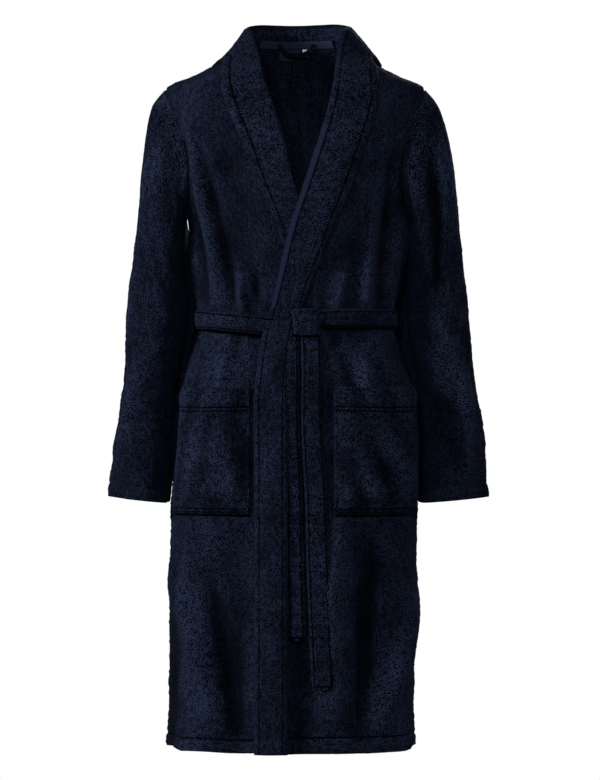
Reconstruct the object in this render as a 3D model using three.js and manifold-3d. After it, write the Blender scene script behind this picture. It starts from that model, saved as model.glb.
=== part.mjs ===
// A shawl-collar bathrobe, wrapped left over right and tied with its belt, as it hangs on a wearer.
// Millimetres. +Z is up, the front faces -Y, +X is the wearer's left, and the origin is the centre
// of the neck's base between the shoulders. Angles run round the body from the front's centre:
// 0 is the front, +90 the wearer's left side, 180 the centre back.
import * as THREE from 'three';
import { mergeVertices } from 'three/addons/utils/BufferGeometryUtils.js';
import Module from 'manifold-3d';

const wasm = await Module();
wasm.setup();

// ---- Driving dimensions ----
const hemZ = -1120;              // the hem, below the neck's base
const hipZ = -747;
const pocketLineZ = -553;
const waistZ = -431;
const underarmZ = -262;
const shoulderZ = -45;           // the shoulder point, where the sleeve begins
const collarTopZ = 66;           // the collar's fold at the back of the neck

const hemHalfWidth = 199;
const hipHalfWidth = 196;
const waistHalfWidth = 157;
const underarmHalfWidth = 174;
const shoulderHalfWidth = 209;
const neckHalfWidth = 118;
const collarTopHalfWidth = 66;
const hemHalfDepth = 146;
const waistHalfDepth = 104;
const chestHalfDepth = 116;
const neckHalfDepth = 78;
const squareness = 2.4;          // 2 is an ellipse, more is a squarer body section

const cloth = 3;                 // one layer of fleece
const foldedCloth = 4;           // a collar or band, folded double and pressed flat
const layerGap = 1;              // between one layer and the next
const facetRoom = 0.4;           // added where two curved layers are cut into different facets
const seamGap = 0.1;             // degrees left open each side of a seam

const armholeHalfDepth = 60;
const sleeveDrop = 711;          // neck base down to the outside of the sleeve's end
const sleeveWidth = 104;         // across the sleeve's end, seen from the front
const sleeveFlare = { left: 8, right: -8 };
const sleeveHalfDepth = 54;

const bandWidth = 52;            // the front band below the belt
const rightBandWidth = 34;
const overlapX = 95;             // how far the under front reaches past the centre
const bandLeftX = -63;           // free edge of the upper front at the hem
const foldTopZ = -640;           // where the fold of the upper front's loose corner begins
const foldHemX = 16;             // and where it meets the hem

const pocketHeight = 204;
const pocketTopZ = -534;
const pocketDepth = 12;          // room inside for a hand
const pocketEndAngle = 76;
const rightPocketX = -70;        // each pocket's edge nearest the front opening
const leftPocketX = 60;

const beltWidth = 32;
const beltThickness = 5;
const beltDip = 14;              // how far the belt sags to the knot on the wearer's right
const tailWidth = 0.9 * beltWidth;
const tailThickness = 4;
const longTailEndZ = -1018;
const shortTailEndZ = -940;
const knotLeftX = 34;
const knotRightX = -12;
const knotHeight = beltWidth + 18;
const knotThickness = 20;

const loopWidthAngle = 2;        // half the width of a belt loop, in degrees round the waist
const hangerHalfWidth = 32;
const hangerDroop = 20;
const hangerStrap = 8;
const hangerStandoff = 15;       // how far the loop's droop stands off the back
const hangerThickness = 2.5;
const tapeZ = 28;                // lower edge of the neck tape
const tapeHeight = 12;

// ---- Smooth curves ----
function smooth(from, to, at) {
  const t = THREE.MathUtils.clamp((at - from) / (to - from), 0, 1);
  return t * t * (3 - 2 * t);
}
const radians = THREE.MathUtils.degToRad;

/** A smooth curve through points [at, value] that never overshoots them. */
function curve(points) {
  const sorted = [...points].sort((a, b) => a[0] - b[0]);
  const slopes = sorted.slice(1).map(([x, y], i) => (y - sorted[i][1]) / (x - sorted[i][0]));
  const tangents = sorted.map((_, i) => {
    const before = slopes[Math.max(i - 1, 0)];
    const after = slopes[Math.min(i, slopes.length - 1)];
    return before * after <= 0 ? 0 : (2 * before * after) / (before + after);
  });
  return (x) => {
    const last = sorted.length - 2;
    let i = sorted.findIndex((point) => point[0] > x) - 1;
    i = i < 0 ? (x < sorted[0][0] ? 0 : last) : Math.min(i, last);
    const [x0, y0] = sorted[i];
    const [x1, y1] = sorted[i + 1];
    const h = x1 - x0;
    const t = THREE.MathUtils.clamp((x - x0) / h, 0, 1);
    const rise = t * t * (3 - 2 * t);
    const bend = t * (1 - t) * h * (tangents[i] * (1 - t) - tangents[i + 1] * t);
    return y0 + (y1 - y0) * rise + bend;
  };
}

// ---- The body's surface ----
const halfWidth = curve([
  [hemZ, hemHalfWidth], [hipZ, hipHalfWidth], [pocketLineZ, 0.8 * hipHalfWidth + 0.2 * waistHalfWidth],
  [waistZ, waistHalfWidth], [waistZ + 40, waistHalfWidth + 1], [underarmZ, underarmHalfWidth],
  [(underarmZ + 2 * shoulderZ) / 3, shoulderHalfWidth - 8], [shoulderZ, shoulderHalfWidth],
  [shoulderZ + 20, 0.5 * (shoulderHalfWidth + neckHalfWidth)], [0, neckHalfWidth],
  [collarTopZ, collarTopHalfWidth],
]);
const halfDepth = curve([
  [hemZ, hemHalfDepth], [pocketLineZ, 0.4 * hemHalfDepth + 0.6 * waistHalfDepth],
  [waistZ, waistHalfDepth], [underarmZ, chestHalfDepth], [shoulderZ - 60, chestHalfDepth - 6],
  [shoulderZ, 0.5 * (chestHalfDepth + neckHalfDepth)], [0, neckHalfDepth], [collarTopZ, neckHalfDepth - 17],
]);
const centreX = curve([[hemZ, -9], [hipZ, -2], [pocketLineZ, 4], [waistZ, 3], [shoulderZ, 0], [0, 3]]);

/** A point on the body's bare surface. */
function skin(angle, z) {
  const s = Math.sin(radians(angle));
  const c = Math.cos(radians(angle));
  const across = Math.abs(s / halfWidth(z)) ** squareness;
  const along = Math.abs(c / halfDepth(z)) ** squareness;
  const radius = (across + along) ** (-1 / squareness);
  return new THREE.Vector3(centreX(z) + radius * s, -radius * c, z);
}

/** A point that stands off the body's surface, square to it. */
function onBody(angle, z, offset) {
  const round = skin(angle + 0.5, z).sub(skin(angle - 0.5, z));
  const up = skin(angle, z + 1).sub(skin(angle, z - 1));
  return skin(angle, z).addScaledVector(round.cross(up).normalize(), offset);
}

/** How far the body's surface lies from the mid plane at x, as a positive depth. */
function depthAt(x, z) {
  const share = Math.min(Math.abs((x - centreX(z)) / halfWidth(z)), 0.999);
  return halfDepth(z) * (1 - share ** squareness) ** (1 / squareness);
}

const frontAngle = (x, z) => THREE.MathUtils.radToDeg(Math.atan2(x - centreX(z), depthAt(x, z)));
const backAngle = (x, z) => 180 - frontAngle(x, z);

/** Where the body's side lies at (y, z), left or right. */
function sideX(side, y, z) {
  const share = Math.min(Math.abs(y / halfDepth(z)), 0.999);
  return centreX(z) + side * halfWidth(z) * (1 - share ** squareness) ** (1 / squareness);
}

// ---- Layers, from the body outwards ----
const underBand = cloth + layerGap;
const upperLift = underBand + foldedCloth + layerGap + facetRoom;
/** How far the upper front is carried out by what it laps over: more of it from chest to waist. */
function lift(angle, z) {
  const down = smooth(underarmZ, waistZ, z);
  const full = THREE.MathUtils.lerp(25, 55, down);
  const none = THREE.MathUtils.lerp(58, 85, down);
  return upperLift * (1 - smooth(full, none, angle)) * smooth(0, 110, shoulderZ - 15 - z);
}
const upperBand = upperLift + cloth + layerGap;
const overUpperBand = upperBand + foldedCloth + layerGap;
/** The belt's inner face: close on the back and sides, and out over the bands in front. */
function beltOffset(angle) {
  const turn = Math.abs(((angle + 540) % 360) - 180);
  return cloth + layerGap + 0.2 + (overUpperBand - cloth - layerGap) * (1 - smooth(45, 88, turn));
}

// ---- Solids ----
function signedVolume(geometry) {
  const at = geometry.attributes.position;
  const corner = (i) => new THREE.Vector3().fromBufferAttribute(at, geometry.index.getX(i));
  let six = 0;
  for (let i = 0; i < geometry.index.count; i += 3) {
    six += corner(i).dot(corner(i + 1).cross(corner(i + 2)));
  }
  return six / 6;
}

/** The geometry with shared corners, and its faces turned to point out. */
function closed(geometry) {
  geometry.deleteAttribute('normal');
  geometry.deleteAttribute('uv');
  const solid = mergeVertices(geometry);
  if (signedVolume(solid) < 0) {
    const turned = Array.from(solid.index.array);
    for (let i = 0; i < turned.length; i += 3) {
      [turned[i], turned[i + 1]] = [turned[i + 1], turned[i]];
    }
    solid.setIndex(turned);
  }
  return solid;
}

/** A sheet of columns × rows cells; place(u, v, w) puts each corner, w being 0 inside and 1 outside. */
function sheet(columns, rows, place) {
  const geometry = new THREE.BoxGeometry(1, 1, 1, columns, rows, 1);
  const at = geometry.attributes.position;
  for (let i = 0; i < at.count; i += 1) {
    const p = place(at.getX(i) + 0.5, at.getY(i) + 0.5, at.getZ(i) + 0.5);
    at.setXYZ(i, p.x, p.y, p.z);
  }
  return closed(geometry);
}

/** An open tube with a wall; place(turn, v, wall) puts each corner, wall being 0 outside and 1 inside. */
function tube(turns, rows, place) {
  const outline = [];
  for (let i = 0; i <= rows; i += 1) outline.push(new THREE.Vector2(2, i / rows));
  for (let i = rows; i >= 0; i -= 1) outline.push(new THREE.Vector2(1, i / rows));
  outline.push(outline[0].clone());
  const geometry = new THREE.LatheGeometry(outline, turns);
  const at = geometry.attributes.position;
  for (let i = 0; i < at.count; i += 1) {
    const radius = Math.hypot(at.getX(i), at.getZ(i));
    const p = place(Math.atan2(at.getX(i), at.getZ(i)), at.getY(i), radius > 1.5 ? 0 : 1);
    at.setXYZ(i, p.x, p.y, p.z);
  }
  return closed(geometry);
}

function toManifold(geometry) {
  return new wasm.Manifold(new wasm.Mesh({
    numProp: 3,
    vertProperties: new Float32Array(geometry.attributes.position.array),
    triVerts: new Uint32Array(geometry.index.array),
  }));
}

/** The geometry less the cutters. */
function carve(geometry, cutters) {
  const solid = cutters.reduce((left, cutter) => left.subtract(toManifold(cutter)), toManifold(geometry));
  const mesh = solid.getMesh();
  const result = new THREE.BufferGeometry();
  result.setAttribute('position', new THREE.BufferAttribute(Float32Array.from(mesh.vertProperties), 3));
  result.setIndex(Array.from(mesh.triVerts));
  return result;
}

/**
 * A panel round the body between two edges, angleFrom(z) and angleTo(z), on the rows' heights.
 * With angleBetween, half of its columns end there, so that only those follow the first edge.
 */
function panel({ rows, angleFrom, angleTo, angleBetween, columns, offset, thickness, raise = () => 0 }) {
  return sheet(columns, rows.length - 1, (u, v, w) => {
    const row = rows[Math.round(v * (rows.length - 1))];
    const middle = angleBetween ?? (angleFrom(row) + angleTo(row)) / 2;
    const angle = u < 0.5 ? THREE.MathUtils.lerp(angleFrom(row), middle, 2 * u)
      : THREE.MathUtils.lerp(middle, angleTo(row), 2 * u - 1);
    const z = row + raise(angle, row);
    return onBody(angle, z, offset(angle, z) + thickness * w);
  });
}

/** Heights from one to another, evenly spread in about the given step. */
function heights(from, to, step) {
  const count = Math.max(1, Math.round(Math.abs(to - from) / step));
  return Array.from({ length: count + 1 }, (_, i) => from + ((to - from) * i) / count);
}

// ---- Edges of the fronts ----
const neckSideZ = -2;
const bandTopZ = waistZ - 29;
/** Free edge of the under front: down the V, then well past the centre. */
const underEdge = curve([
  [neckSideZ, -70], [-60, -50], [-116, -31], [-205, -8], [-290, 22], [waistZ + 70, 52], [waistZ, overlapX],
  [hemZ, overlapX],
]);
/** Free edge of the upper front: down the V to the belt. */
const upperEdge = curve([
  [neckSideZ, 75], [-20, 72], [-60, 67], [-108, 54], [-197, 26], [-270, 2], [-350, -20],
  [bandTopZ, bandLeftX + 10],
]);
const bandEdge = curve([[bandTopZ, bandLeftX + 10], [pocketLineZ, bandLeftX], [hemZ, bandLeftX]]);
const bandRight = (z) => bandEdge(z) + bandWidth;
/** The line that the loose corner of the upper front folds along, clear of the belt's tails. */
const foldX = curve([[foldTopZ, bandLeftX], [hemZ, foldHemX]]);
/** Free edge of what stays still of the upper front. */
function stillEdge(z) {
  if (z > bandTopZ) return upperEdge(z);
  return z > foldTopZ ? bandEdge(z) : foldX(z) + layerGap;
}

// ---- Body panels ----
const lowRows = [...heights(hemZ, hipZ, 124), ...heights(hipZ, pocketLineZ, 65).slice(1), -520, -490,
  waistZ - 40];
const chestRows = [waistZ - 20, waistZ, waistZ + 20, waistZ + 40, -310, underarmZ, -205, -155, -110, -80, -60];
const shoulderRows = [shoulderZ, -36, -27, -18, -10, neckSideZ];
const allRows = [...lowRows, ...chestRows, ...shoulderRows];

function armholeCutters() {
  const topZ = shoulderZ - 6;
  const lowZ = underarmZ + 7;
  return [-1, 1].map((side) => {
    const drum = new THREE.CylinderGeometry(1, 1, 160, 28);
    drum.rotateZ(Math.PI / 2);
    drum.scale(1, (topZ - lowZ) / 2, armholeHalfDepth);
    drum.rotateX(Math.PI / 2);
    drum.translate(side * 190, 0, (topZ + lowZ) / 2);
    return closed(drum);
  });
}

const backNeckLift = tapeZ - 2 - neckSideZ;
function backPanel() {
  const blank = panel({
    rows: allRows,
    angleFrom: () => 90 + seamGap,
    angleTo: () => 270 - seamGap,
    columns: 18,
    offset: () => 0,
    thickness: cloth,
    raise: (angle, row) => backNeckLift * (1 - smooth(35, 75, Math.abs(angle - 180)))
      * Math.max(0, (row - shoulderZ) / (neckSideZ - shoulderZ)),
  });
  return carve(blank, armholeCutters());
}

function rightFrontPanel() {
  const blank = panel({
    rows: allRows,
    angleFrom: () => -90 + seamGap,
    angleTo: (z) => frontAngle(underEdge(z), z),
    columns: 14,
    offset: () => 0,
    thickness: cloth,
  });
  return carve(blank, armholeCutters());
}

function leftFrontPanel() {
  const blank = panel({
    rows: [...lowRows.filter((z) => z < foldTopZ), foldTopZ, ...lowRows.filter((z) => z > foldTopZ),
      ...chestRows, ...shoulderRows],
    angleFrom: (z) => frontAngle(stillEdge(z), z),
    angleTo: () => 90 - seamGap,
    angleBetween: 35,
    columns: 20,
    offset: lift,
    thickness: cloth,
  });
  return carve(blank, armholeCutters());
}

/** The width at which a piece that narrows to a point is cut off. */
const pointWidth = 3;
const foldSlope = (foldHemX - bandLeftX) / (foldTopZ - hemZ);
const cornerTopZ = foldTopZ - pointWidth / foldSlope;
const bandPointZ = foldTopZ - (bandWidth - layerGap - pointWidth) / foldSlope;
const bandFullZ = foldTopZ - bandWidth / foldSlope;

function leftFrontCorner() {
  return panel({
    rows: heights(hemZ, cornerTopZ, 60),
    angleFrom: (z) => frontAngle(bandEdge(z), z),
    angleTo: (z) => frontAngle(foldX(z), z),
    columns: 6,
    offset: lift,
    thickness: cloth,
  });
}

function frontBand({ edgeFrom, edgeTo, rows, offset }) {
  return panel({
    rows,
    angleFrom: (z) => frontAngle(edgeFrom(z), z),
    angleTo: (z) => frontAngle(edgeTo(z), z),
    columns: 4,
    offset: () => offset,
    thickness: foldedCloth,
  });
}

const rightFrontBand = () => frontBand({
  edgeFrom: () => overlapX - rightBandWidth,
  edgeTo: () => overlapX,
  rows: [...lowRows, waistZ - 20, waistZ - 4],
  offset: underBand,
});
const leftFrontBand = () => frontBand({
  edgeFrom: (z) => (z > foldTopZ ? bandEdge(z) : foldX(z) + layerGap),
  edgeTo: bandRight,
  rows: [...heights(bandPointZ, foldTopZ, 60), ...heights(foldTopZ, bandTopZ, 45).slice(1)],
  offset: upperBand,
});
const leftBandCorner = () => frontBand({
  edgeFrom: bandEdge,
  edgeTo: (z) => Math.min(foldX(z), bandRight(z)),
  rows: [...heights(hemZ, bandFullZ, 60), ...heights(bandFullZ, cornerTopZ, 60).slice(1)],
  offset: upperBand,
});

// ---- Shawl collar ----
// Each half is stated as pairs of points, from the centre back to the belt: the fold that stands
// against the neck, then the outer edge that falls on the shoulder and chest. The first three
// pairs are angles round the neck, and the others are x values on the front.
const collarBack = [
  [[180 - seamGap, collarTopZ], [180 - seamGap, -22]],
  [[138, collarTopZ - 2], [136, -20]],
  [[102, collarTopZ - 9], [100, -13]],
];
const leftCollarFront = [
  [[69, 44], [124, -8]], [[66, 26], [130, -18]], [[63, -20], [134, -42]], [[57, -60], [133, -76]],
  [[44, -108], [121, -118]], [[16, -197], [92, -200]], [[-8, -270], [64, -270]],
  [[-24, -340], [38, -335]], [[-38, -405], [14, -400]], [[-50, waistZ - 21], [-2, waistZ - 21]],
];
const rightCollarFront = [
  [[-66, 44], [-118, -8]], [[-61, 26], [-119, -18]], [[-53, -14], [-121, -38]], [[-40, -60], [-113, -72]],
  [[-21, -116], [-90, -126]], [[2, -205], [-62, -196]], [[25, -275], [-38, -252]],
  [[45, -335], [-16, -310]], [[68, -385], [20, -370]], [[92, waistZ], [56, waistZ]],
];

function shawlCollar(side, front, offset) {
  const toAngle = ([at, z], back) => new THREE.Vector3(back ? side * at : frontAngle(at, z), z, 0);
  const pairs = [...collarBack.map((pair) => [pair, true]), ...front.map((pair) => [pair, false])];
  const edges = [0, 1].map((edge) => new THREE.CatmullRomCurve3(
    pairs.map(([pair, back]) => toAngle(pair[edge], back)), false, 'centripetal',
  ));
  return sheet(44, 7, (u, v, w) => {
    const [fold, fall] = edges.map((edge) => edge.getPoint(u));
    const at = fold.lerp(fall, v);
    return onBody(at.x, at.y, offset(at.x, at.y) + foldedCloth * w);
  });
}

// ---- Sleeves ----
// Each ring of a sleeve is a pair of heights, outer and inner, the outer edge's distance from the
// shoulder point, and half its depth. The inner edge keeps clear of the body, its belt and loops.
const sleeveRings = [
  { outerZ: shoulderZ, innerZ: underarmZ, reach: 0, clear: 0, halfDepth: armholeHalfDepth + cloth + 1 },
  { outerZ: -72, innerZ: underarmZ - 14, reach: 24, clear: 5, halfDepth: 66 },
  { outerZ: -112, innerZ: underarmZ - 30, reach: 34, clear: 8, halfDepth: 66 },
  { outerZ: -178, innerZ: underarmZ - 56, reach: 43, clear: 11, halfDepth: 64 },
  { outerZ: -250, innerZ: -350, reach: 50, clear: 15, halfDepth: 61 },
  { outerZ: -330, innerZ: -400, reach: 59, clear: 17, halfDepth: 58 },
  { outerZ: waistZ - 9, innerZ: waistZ - 39, reach: 70, clear: 18, halfDepth: 56 },
  { outerZ: -575, innerZ: -590, reach: 86, clear: 11, halfDepth: 55 },
  { outerZ: sleeveDrop * -1, innerZ: sleeveDrop * -1 - 11, reach: sleeveWidth - 4, clear: 9,
    halfDepth: sleeveHalfDepth },
];

function sleeve(side, flare) {
  const seat = cloth + layerGap + facetRoom;
  const last = sleeveRings.length - 1;
  const points = (key) => sleeveRings.map((ring, i) => {
    const bodyX = Math.abs(sideX(side, 0, ring.innerZ));
    const x = key === 'outer' ? shoulderHalfWidth + seat + ring.reach + (flare * i) / last
      : bodyX + seat + ring.clear;
    return new THREE.Vector3(side * x, ring.halfDepth, key === 'outer' ? ring.outerZ : ring.innerZ);
  });
  const outer = new THREE.CatmullRomCurve3(points('outer'), false, 'centripetal');
  const inner = new THREE.CatmullRomCurve3(points('inner'), false, 'centripetal');
  return tube(20, 13, (turn, v, wall) => {
    const high = outer.getPoint(v);
    const low = inner.getPoint(v);
    const centre = high.clone().add(low).multiplyScalar(0.5);
    const reach = new THREE.Vector2(high.x - low.x, high.z - low.z).multiplyScalar(0.5);
    const width = reach.length();
    reach.multiplyScalar((width - cloth * wall) / width);
    const y = (high.y - cloth * wall) * Math.sin(turn);
    const z = centre.z + reach.y * Math.cos(turn);
    const hollow = sideX(side, y, z) - sideX(side, 0, z);
    const seatX = sideX(side, y, z) + side * seat;
    const freeX = centre.x + reach.x * Math.cos(turn);
    const x = v === 0 ? seatX : freeX + hollow * (1 - smooth(0, 0.3, v));
    return new THREE.Vector3(x, y, z);
  });
}

// ---- Pockets ----
const pocketLowZ = pocketTopZ - pocketHeight;
function pocket(side, innerX, offset) {
  const block = (inset, from, to, lowZ, highZ) => panel({
    rows: heights(lowZ, highZ, 34),
    angleFrom: (z) => frontAngle(innerX, z) + side * inset,
    angleTo: () => side * (pocketEndAngle - inset),
    columns: 10,
    offset: (angle, z) => offset(angle, z) + from,
    thickness: to - from,
  });
  const face = cloth + layerGap + facetRoom / 2;
  const shell = block(0, face, face + pocketDepth + cloth, pocketLowZ, pocketTopZ);
  const room = block(1.5, face - 2, face + pocketDepth, pocketLowZ + 5, pocketTopZ + 5);
  return carve(shell, [room]);
}

// ---- Belt ----
const beltCentre = (angle) => waistZ + 9 - beltDip * smooth(-80, -12, angle) * (angle < 0 ? 1 : 0);
function beltWaistRun() {
  const from = frontAngle(knotLeftX, waistZ) + 0.3;
  const to = 360 + frontAngle(knotRightX, waistZ) - 0.3;
  return sheet(40, 2, (u, v, w) => {
    const angle = THREE.MathUtils.lerp(from, to, u);
    const wrapped = angle > 180 ? angle - 360 : angle;
    const z = beltCentre(wrapped) + beltWidth * (v - 0.5);
    return onBody(angle, z, beltOffset(angle) + beltThickness * w);
  });
}

const knotZ = waistZ + 2;
function beltKnot() {
  return sheet(4, 4, (u, v, w) => {
    const z = knotZ + knotHeight * (v - 0.5);
    const x = THREE.MathUtils.lerp(knotRightX, knotLeftX, u);
    const swell = 1 - 0.35 * Math.max((2 * u - 1) ** 4, (2 * v - 1) ** 4);
    return onBody(frontAngle(x, z), z, overUpperBand + 0.3 + knotThickness * w * swell);
  });
}

const tailTopZ = knotZ - knotHeight / 2 - 0.6;
/** A tail of the belt from its inner edge, the one next to the other tail, out to a side. */
function beltTail(innerX, side, endZ) {
  return sheet(2, 12, (u, v, w) => {
    const z = THREE.MathUtils.lerp(endZ, tailTopZ, v);
    const x = innerX(z) + side * tailWidth * (side > 0 ? u : 1 - u);
    return onBody(frontAngle(x, z), z, overUpperBand + 1.5 + tailThickness * w);
  });
}
const longTailX = curve([[tailTopZ, 11], [-700, 16], [longTailEndZ, 30]]);
const shortTailX = curve([[tailTopZ, 8.8], [-700, 11.8], [shortTailEndZ, 18.8]]);

function beltLoop(side) {
  const half = beltWidth / 2 + 18;
  return sheet(2, 10, (u, v, w) => {
    const angle = side * 90 + loopWidthAngle * (2 * u - 1);
    const z = waistZ + 9 + half * (2 * v - 1);
    const rise = 1 - smooth((beltWidth / 2 + 4) / half, 0.98, Math.abs(2 * v - 1));
    return onBody(angle, z, cloth + 0.6 + (beltThickness + 1.6) * rise + 2 * w);
  });
}

// ---- Neck fittings ----
const tapeOffset = underBand - 0.9 - 1.5;
function neckTape() {
  return sheet(10, 2, (u, v, w) => onBody(134 + 92 * u, tapeZ + tapeHeight * v, tapeOffset + 1.5 * w));
}

/** The hanger loop: half a ring of strap, hanging from the tape and standing off the back. */
function hangerLoop() {
  return sheet(16, 1, (u, v, w) => {
    const turn = Math.PI * u;
    const width = hangerHalfWidth - hangerStrap * (1 - v);
    const droop = hangerDroop - hangerStrap * (1 - v);
    const x = 2 + width * Math.cos(turn);
    const z = tapeZ + tapeHeight - 4 - droop * Math.sin(turn);
    const offset = tapeOffset - 0.5 - hangerThickness - hangerStandoff * Math.sin(turn);
    return onBody(backAngle(x, z), z, offset + hangerThickness * w);
  });
}

function neckLabel(fromX, toX, height) {
  return sheet(4, 2, (u, v, w) => {
    const x = THREE.MathUtils.lerp(fromX, toX, u);
    const z = tapeZ - 0.6 - height * (1 - v);
    return onBody(backAngle(x, z), z, -1.7 + w);
  });
}

// ---- Assembly ----
const robe = new THREE.Group();
const navy = 0x0e1220;
const finishes = {
  fleece: { color: navy, roughness: 0.95, metalness: 0 },
  tape: { color: 0x141b2c, roughness: 0.8, metalness: 0 },
  label: { color: 0x0b0d14, roughness: 0.7, metalness: 0 },
  tab: { color: 0xe6e6e2, roughness: 0.7, metalness: 0 },
};

function add(name, geometry, finish = 'fleece') {
  geometry.computeVertexNormals();
  const mesh = new THREE.Mesh(geometry, new THREE.MeshStandardMaterial(finishes[finish]));
  mesh.name = name;
  robe.add(mesh);
}

add('back_panel', backPanel());
add('right_front_panel', rightFrontPanel());
add('left_front_panel', leftFrontPanel());
add('left_front_corner', leftFrontCorner());
add('right_front_band', rightFrontBand());
add('left_front_band', leftFrontBand());
add('left_band_corner', leftBandCorner());
add('right_shawl_collar', shawlCollar(-1, rightCollarFront, () => underBand));
add('left_shawl_collar', shawlCollar(1, leftCollarFront, (angle, z) => underBand + lift(angle, z)));
add('right_sleeve', sleeve(-1, sleeveFlare.right));
add('left_sleeve', sleeve(1, sleeveFlare.left));
add('right_pocket', pocket(-1, rightPocketX, () => 0));
add('left_pocket', pocket(1, leftPocketX, lift));
add('belt_waist_run', beltWaistRun());
add('belt_knot', beltKnot());
add('belt_long_tail', beltTail(longTailX, 1, longTailEndZ));
add('belt_short_tail', beltTail(shortTailX, -1, shortTailEndZ));
add('right_belt_loop', beltLoop(-1));
add('left_belt_loop', beltLoop(1));
add('neck_tape', neckTape(), 'tape');
add('hanger_loop', hangerLoop());
add('woven_label', neckLabel(-26, 10, 18), 'label');
add('size_tab', neckLabel(12, 22, 11), 'tab');

export default robe;
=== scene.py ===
"""A navy fleece bathrobe with a shawl collar, wrapped left over right and tied with its belt.

Metres. +Z is up, the front faces -Y and +X is the wearer's left. The origin is the centre of the
neck's base. Angles run round the body from the front's centre, +90 being the wearer's left side.
"""

import logging
import math
from dataclasses import dataclass
from enum import Enum
from typing import Callable

import bmesh
import bpy
import numpy as np
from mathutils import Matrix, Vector


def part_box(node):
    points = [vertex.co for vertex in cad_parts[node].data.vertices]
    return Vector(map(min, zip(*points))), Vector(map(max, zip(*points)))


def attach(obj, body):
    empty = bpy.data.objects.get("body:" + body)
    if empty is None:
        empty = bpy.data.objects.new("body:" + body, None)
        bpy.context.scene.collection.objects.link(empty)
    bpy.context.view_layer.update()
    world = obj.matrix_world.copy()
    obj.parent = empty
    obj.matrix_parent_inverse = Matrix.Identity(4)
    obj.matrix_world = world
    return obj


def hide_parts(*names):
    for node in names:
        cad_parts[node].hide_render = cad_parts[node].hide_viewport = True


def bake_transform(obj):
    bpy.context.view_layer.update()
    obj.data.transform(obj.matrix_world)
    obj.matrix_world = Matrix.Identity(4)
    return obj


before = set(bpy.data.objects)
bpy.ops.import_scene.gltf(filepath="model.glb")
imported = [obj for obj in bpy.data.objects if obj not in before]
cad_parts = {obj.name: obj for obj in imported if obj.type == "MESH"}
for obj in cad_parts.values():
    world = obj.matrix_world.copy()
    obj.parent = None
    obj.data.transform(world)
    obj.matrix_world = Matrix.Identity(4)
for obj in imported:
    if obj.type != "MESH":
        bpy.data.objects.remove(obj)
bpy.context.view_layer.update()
log = logging.getLogger("bathrobe")

Array = np.ndarray
Place = Callable[[Array, Array], tuple[Array, ...]]


class Held(Enum):
    """How a piece of cloth is held."""

    HUNG = "hung"
    STRETCHED = "stretched"


# ---------------------------------------------------------------- curves and relief


def smooth(start: float, end: float, at: Array) -> Array:
    """A smooth step from 0 at start to 1 at end.

    Args:
        start: where the step begins.
        end: where it ends, above or below start.
        at: the values to read it at.

    Returns:
        The step's height at each value.
    """
    t = np.clip((np.asarray(at, float) - start) / (end - start), 0, 1)
    return t * t * (3 - 2 * t)


def ridge(distance: Array, width: float) -> Array:
    """A round ridge of a half width over a distance, 1 at its crest."""
    return np.exp(-((np.asarray(distance, float) / width) ** 2))


@dataclass(frozen=True)
class Curve:
    """A smooth curve through (at, value) points that never overshoots them."""

    points: tuple[tuple[float, float], ...]

    def __call__(self, at: Array | float) -> Array:
        """Reads the curve.

        Args:
            at: where to read it, held at the end values outside its range.

        Returns:
            The curve's values.
        """
        xs, ys = np.array(sorted(self.points), float).T
        slopes = np.diff(ys) / np.diff(xs)
        before, after = np.append(slopes[0], slopes), np.append(slopes, slopes[-1])
        both = before * after
        tangents = np.where(both > 0, 2 * both / np.where(both > 0, before + after, 1), 0)
        at = np.clip(np.asarray(at, float), xs[0], xs[-1])
        i = np.clip(np.searchsorted(xs, at, side="right") - 1, 0, len(xs) - 2)
        h = xs[i + 1] - xs[i]
        t = (at - xs[i]) / h
        bend = t * (1 - t) * h * (tangents[i] * (1 - t) - tangents[i + 1] * t)
        return ys[i] + (ys[i + 1] - ys[i]) * t * t * (3 - 2 * t) + bend


def lumps(x: Array, y: Array, size: float, seed: int) -> Array:
    """Even, random relief, the same for the same seed.

    Args:
        x: places across the cloth.
        y: places along the cloth.
        size: the distance from one lump to the next.
        seed: which relief.

    Returns:
        The relief's height, about -1 to 1.
    """
    draw = np.random.default_rng(seed)
    waves = 14
    total = np.zeros(np.shape(x))
    for turn, phase, stretch in zip(
        draw.uniform(0, math.tau, waves), draw.uniform(0, math.tau, waves), draw.uniform(0.75, 1.35, waves)
    ):
        pace = math.tau / (size * stretch)
        total += np.sin(pace * (x * math.cos(turn) + y * math.sin(turn)) + phase)
    return total / math.sqrt(2 * waves)


@dataclass(frozen=True)
class Fold:
    """One soft fold along a line of (x, z) points, raised or, with a negative height, sunk."""

    line: tuple[tuple[float, float], ...]
    height: float
    width: float

    def relief(self, x: Array, z: Array) -> Array:
        """The fold's height.

        Args:
            x: places across the front.
            z: heights.

        Returns:
            Its relief at each place, fading out towards both ends of the line.
        """
        corners = np.array(self.line, float)
        steps = np.diff(corners, axis=0)
        lengths = np.hypot(*steps.T)
        whole = lengths.sum()
        best = np.full(np.shape(x), 1e9)
        along = np.zeros(np.shape(x))
        passed = 0.0
        for (x0, z0), (dx, dz), length in zip(corners, steps, lengths):
            t = np.clip(((x - x0) * dx + (z - z0) * dz) / length**2, 0, 1)
            gap = np.hypot(x - x0 - t * dx, z - z0 - t * dz)
            nearer = gap < best
            best = np.where(nearer, gap, best)
            along = np.where(nearer, (passed + t * length) / whole, along)
            passed += length
        fade = np.sin(np.pi * np.clip(along, 0.02, 0.98)) ** 0.6
        return self.height * fade * ridge(best, self.width)


# ---------------------------------------------------------------- the body


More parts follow.
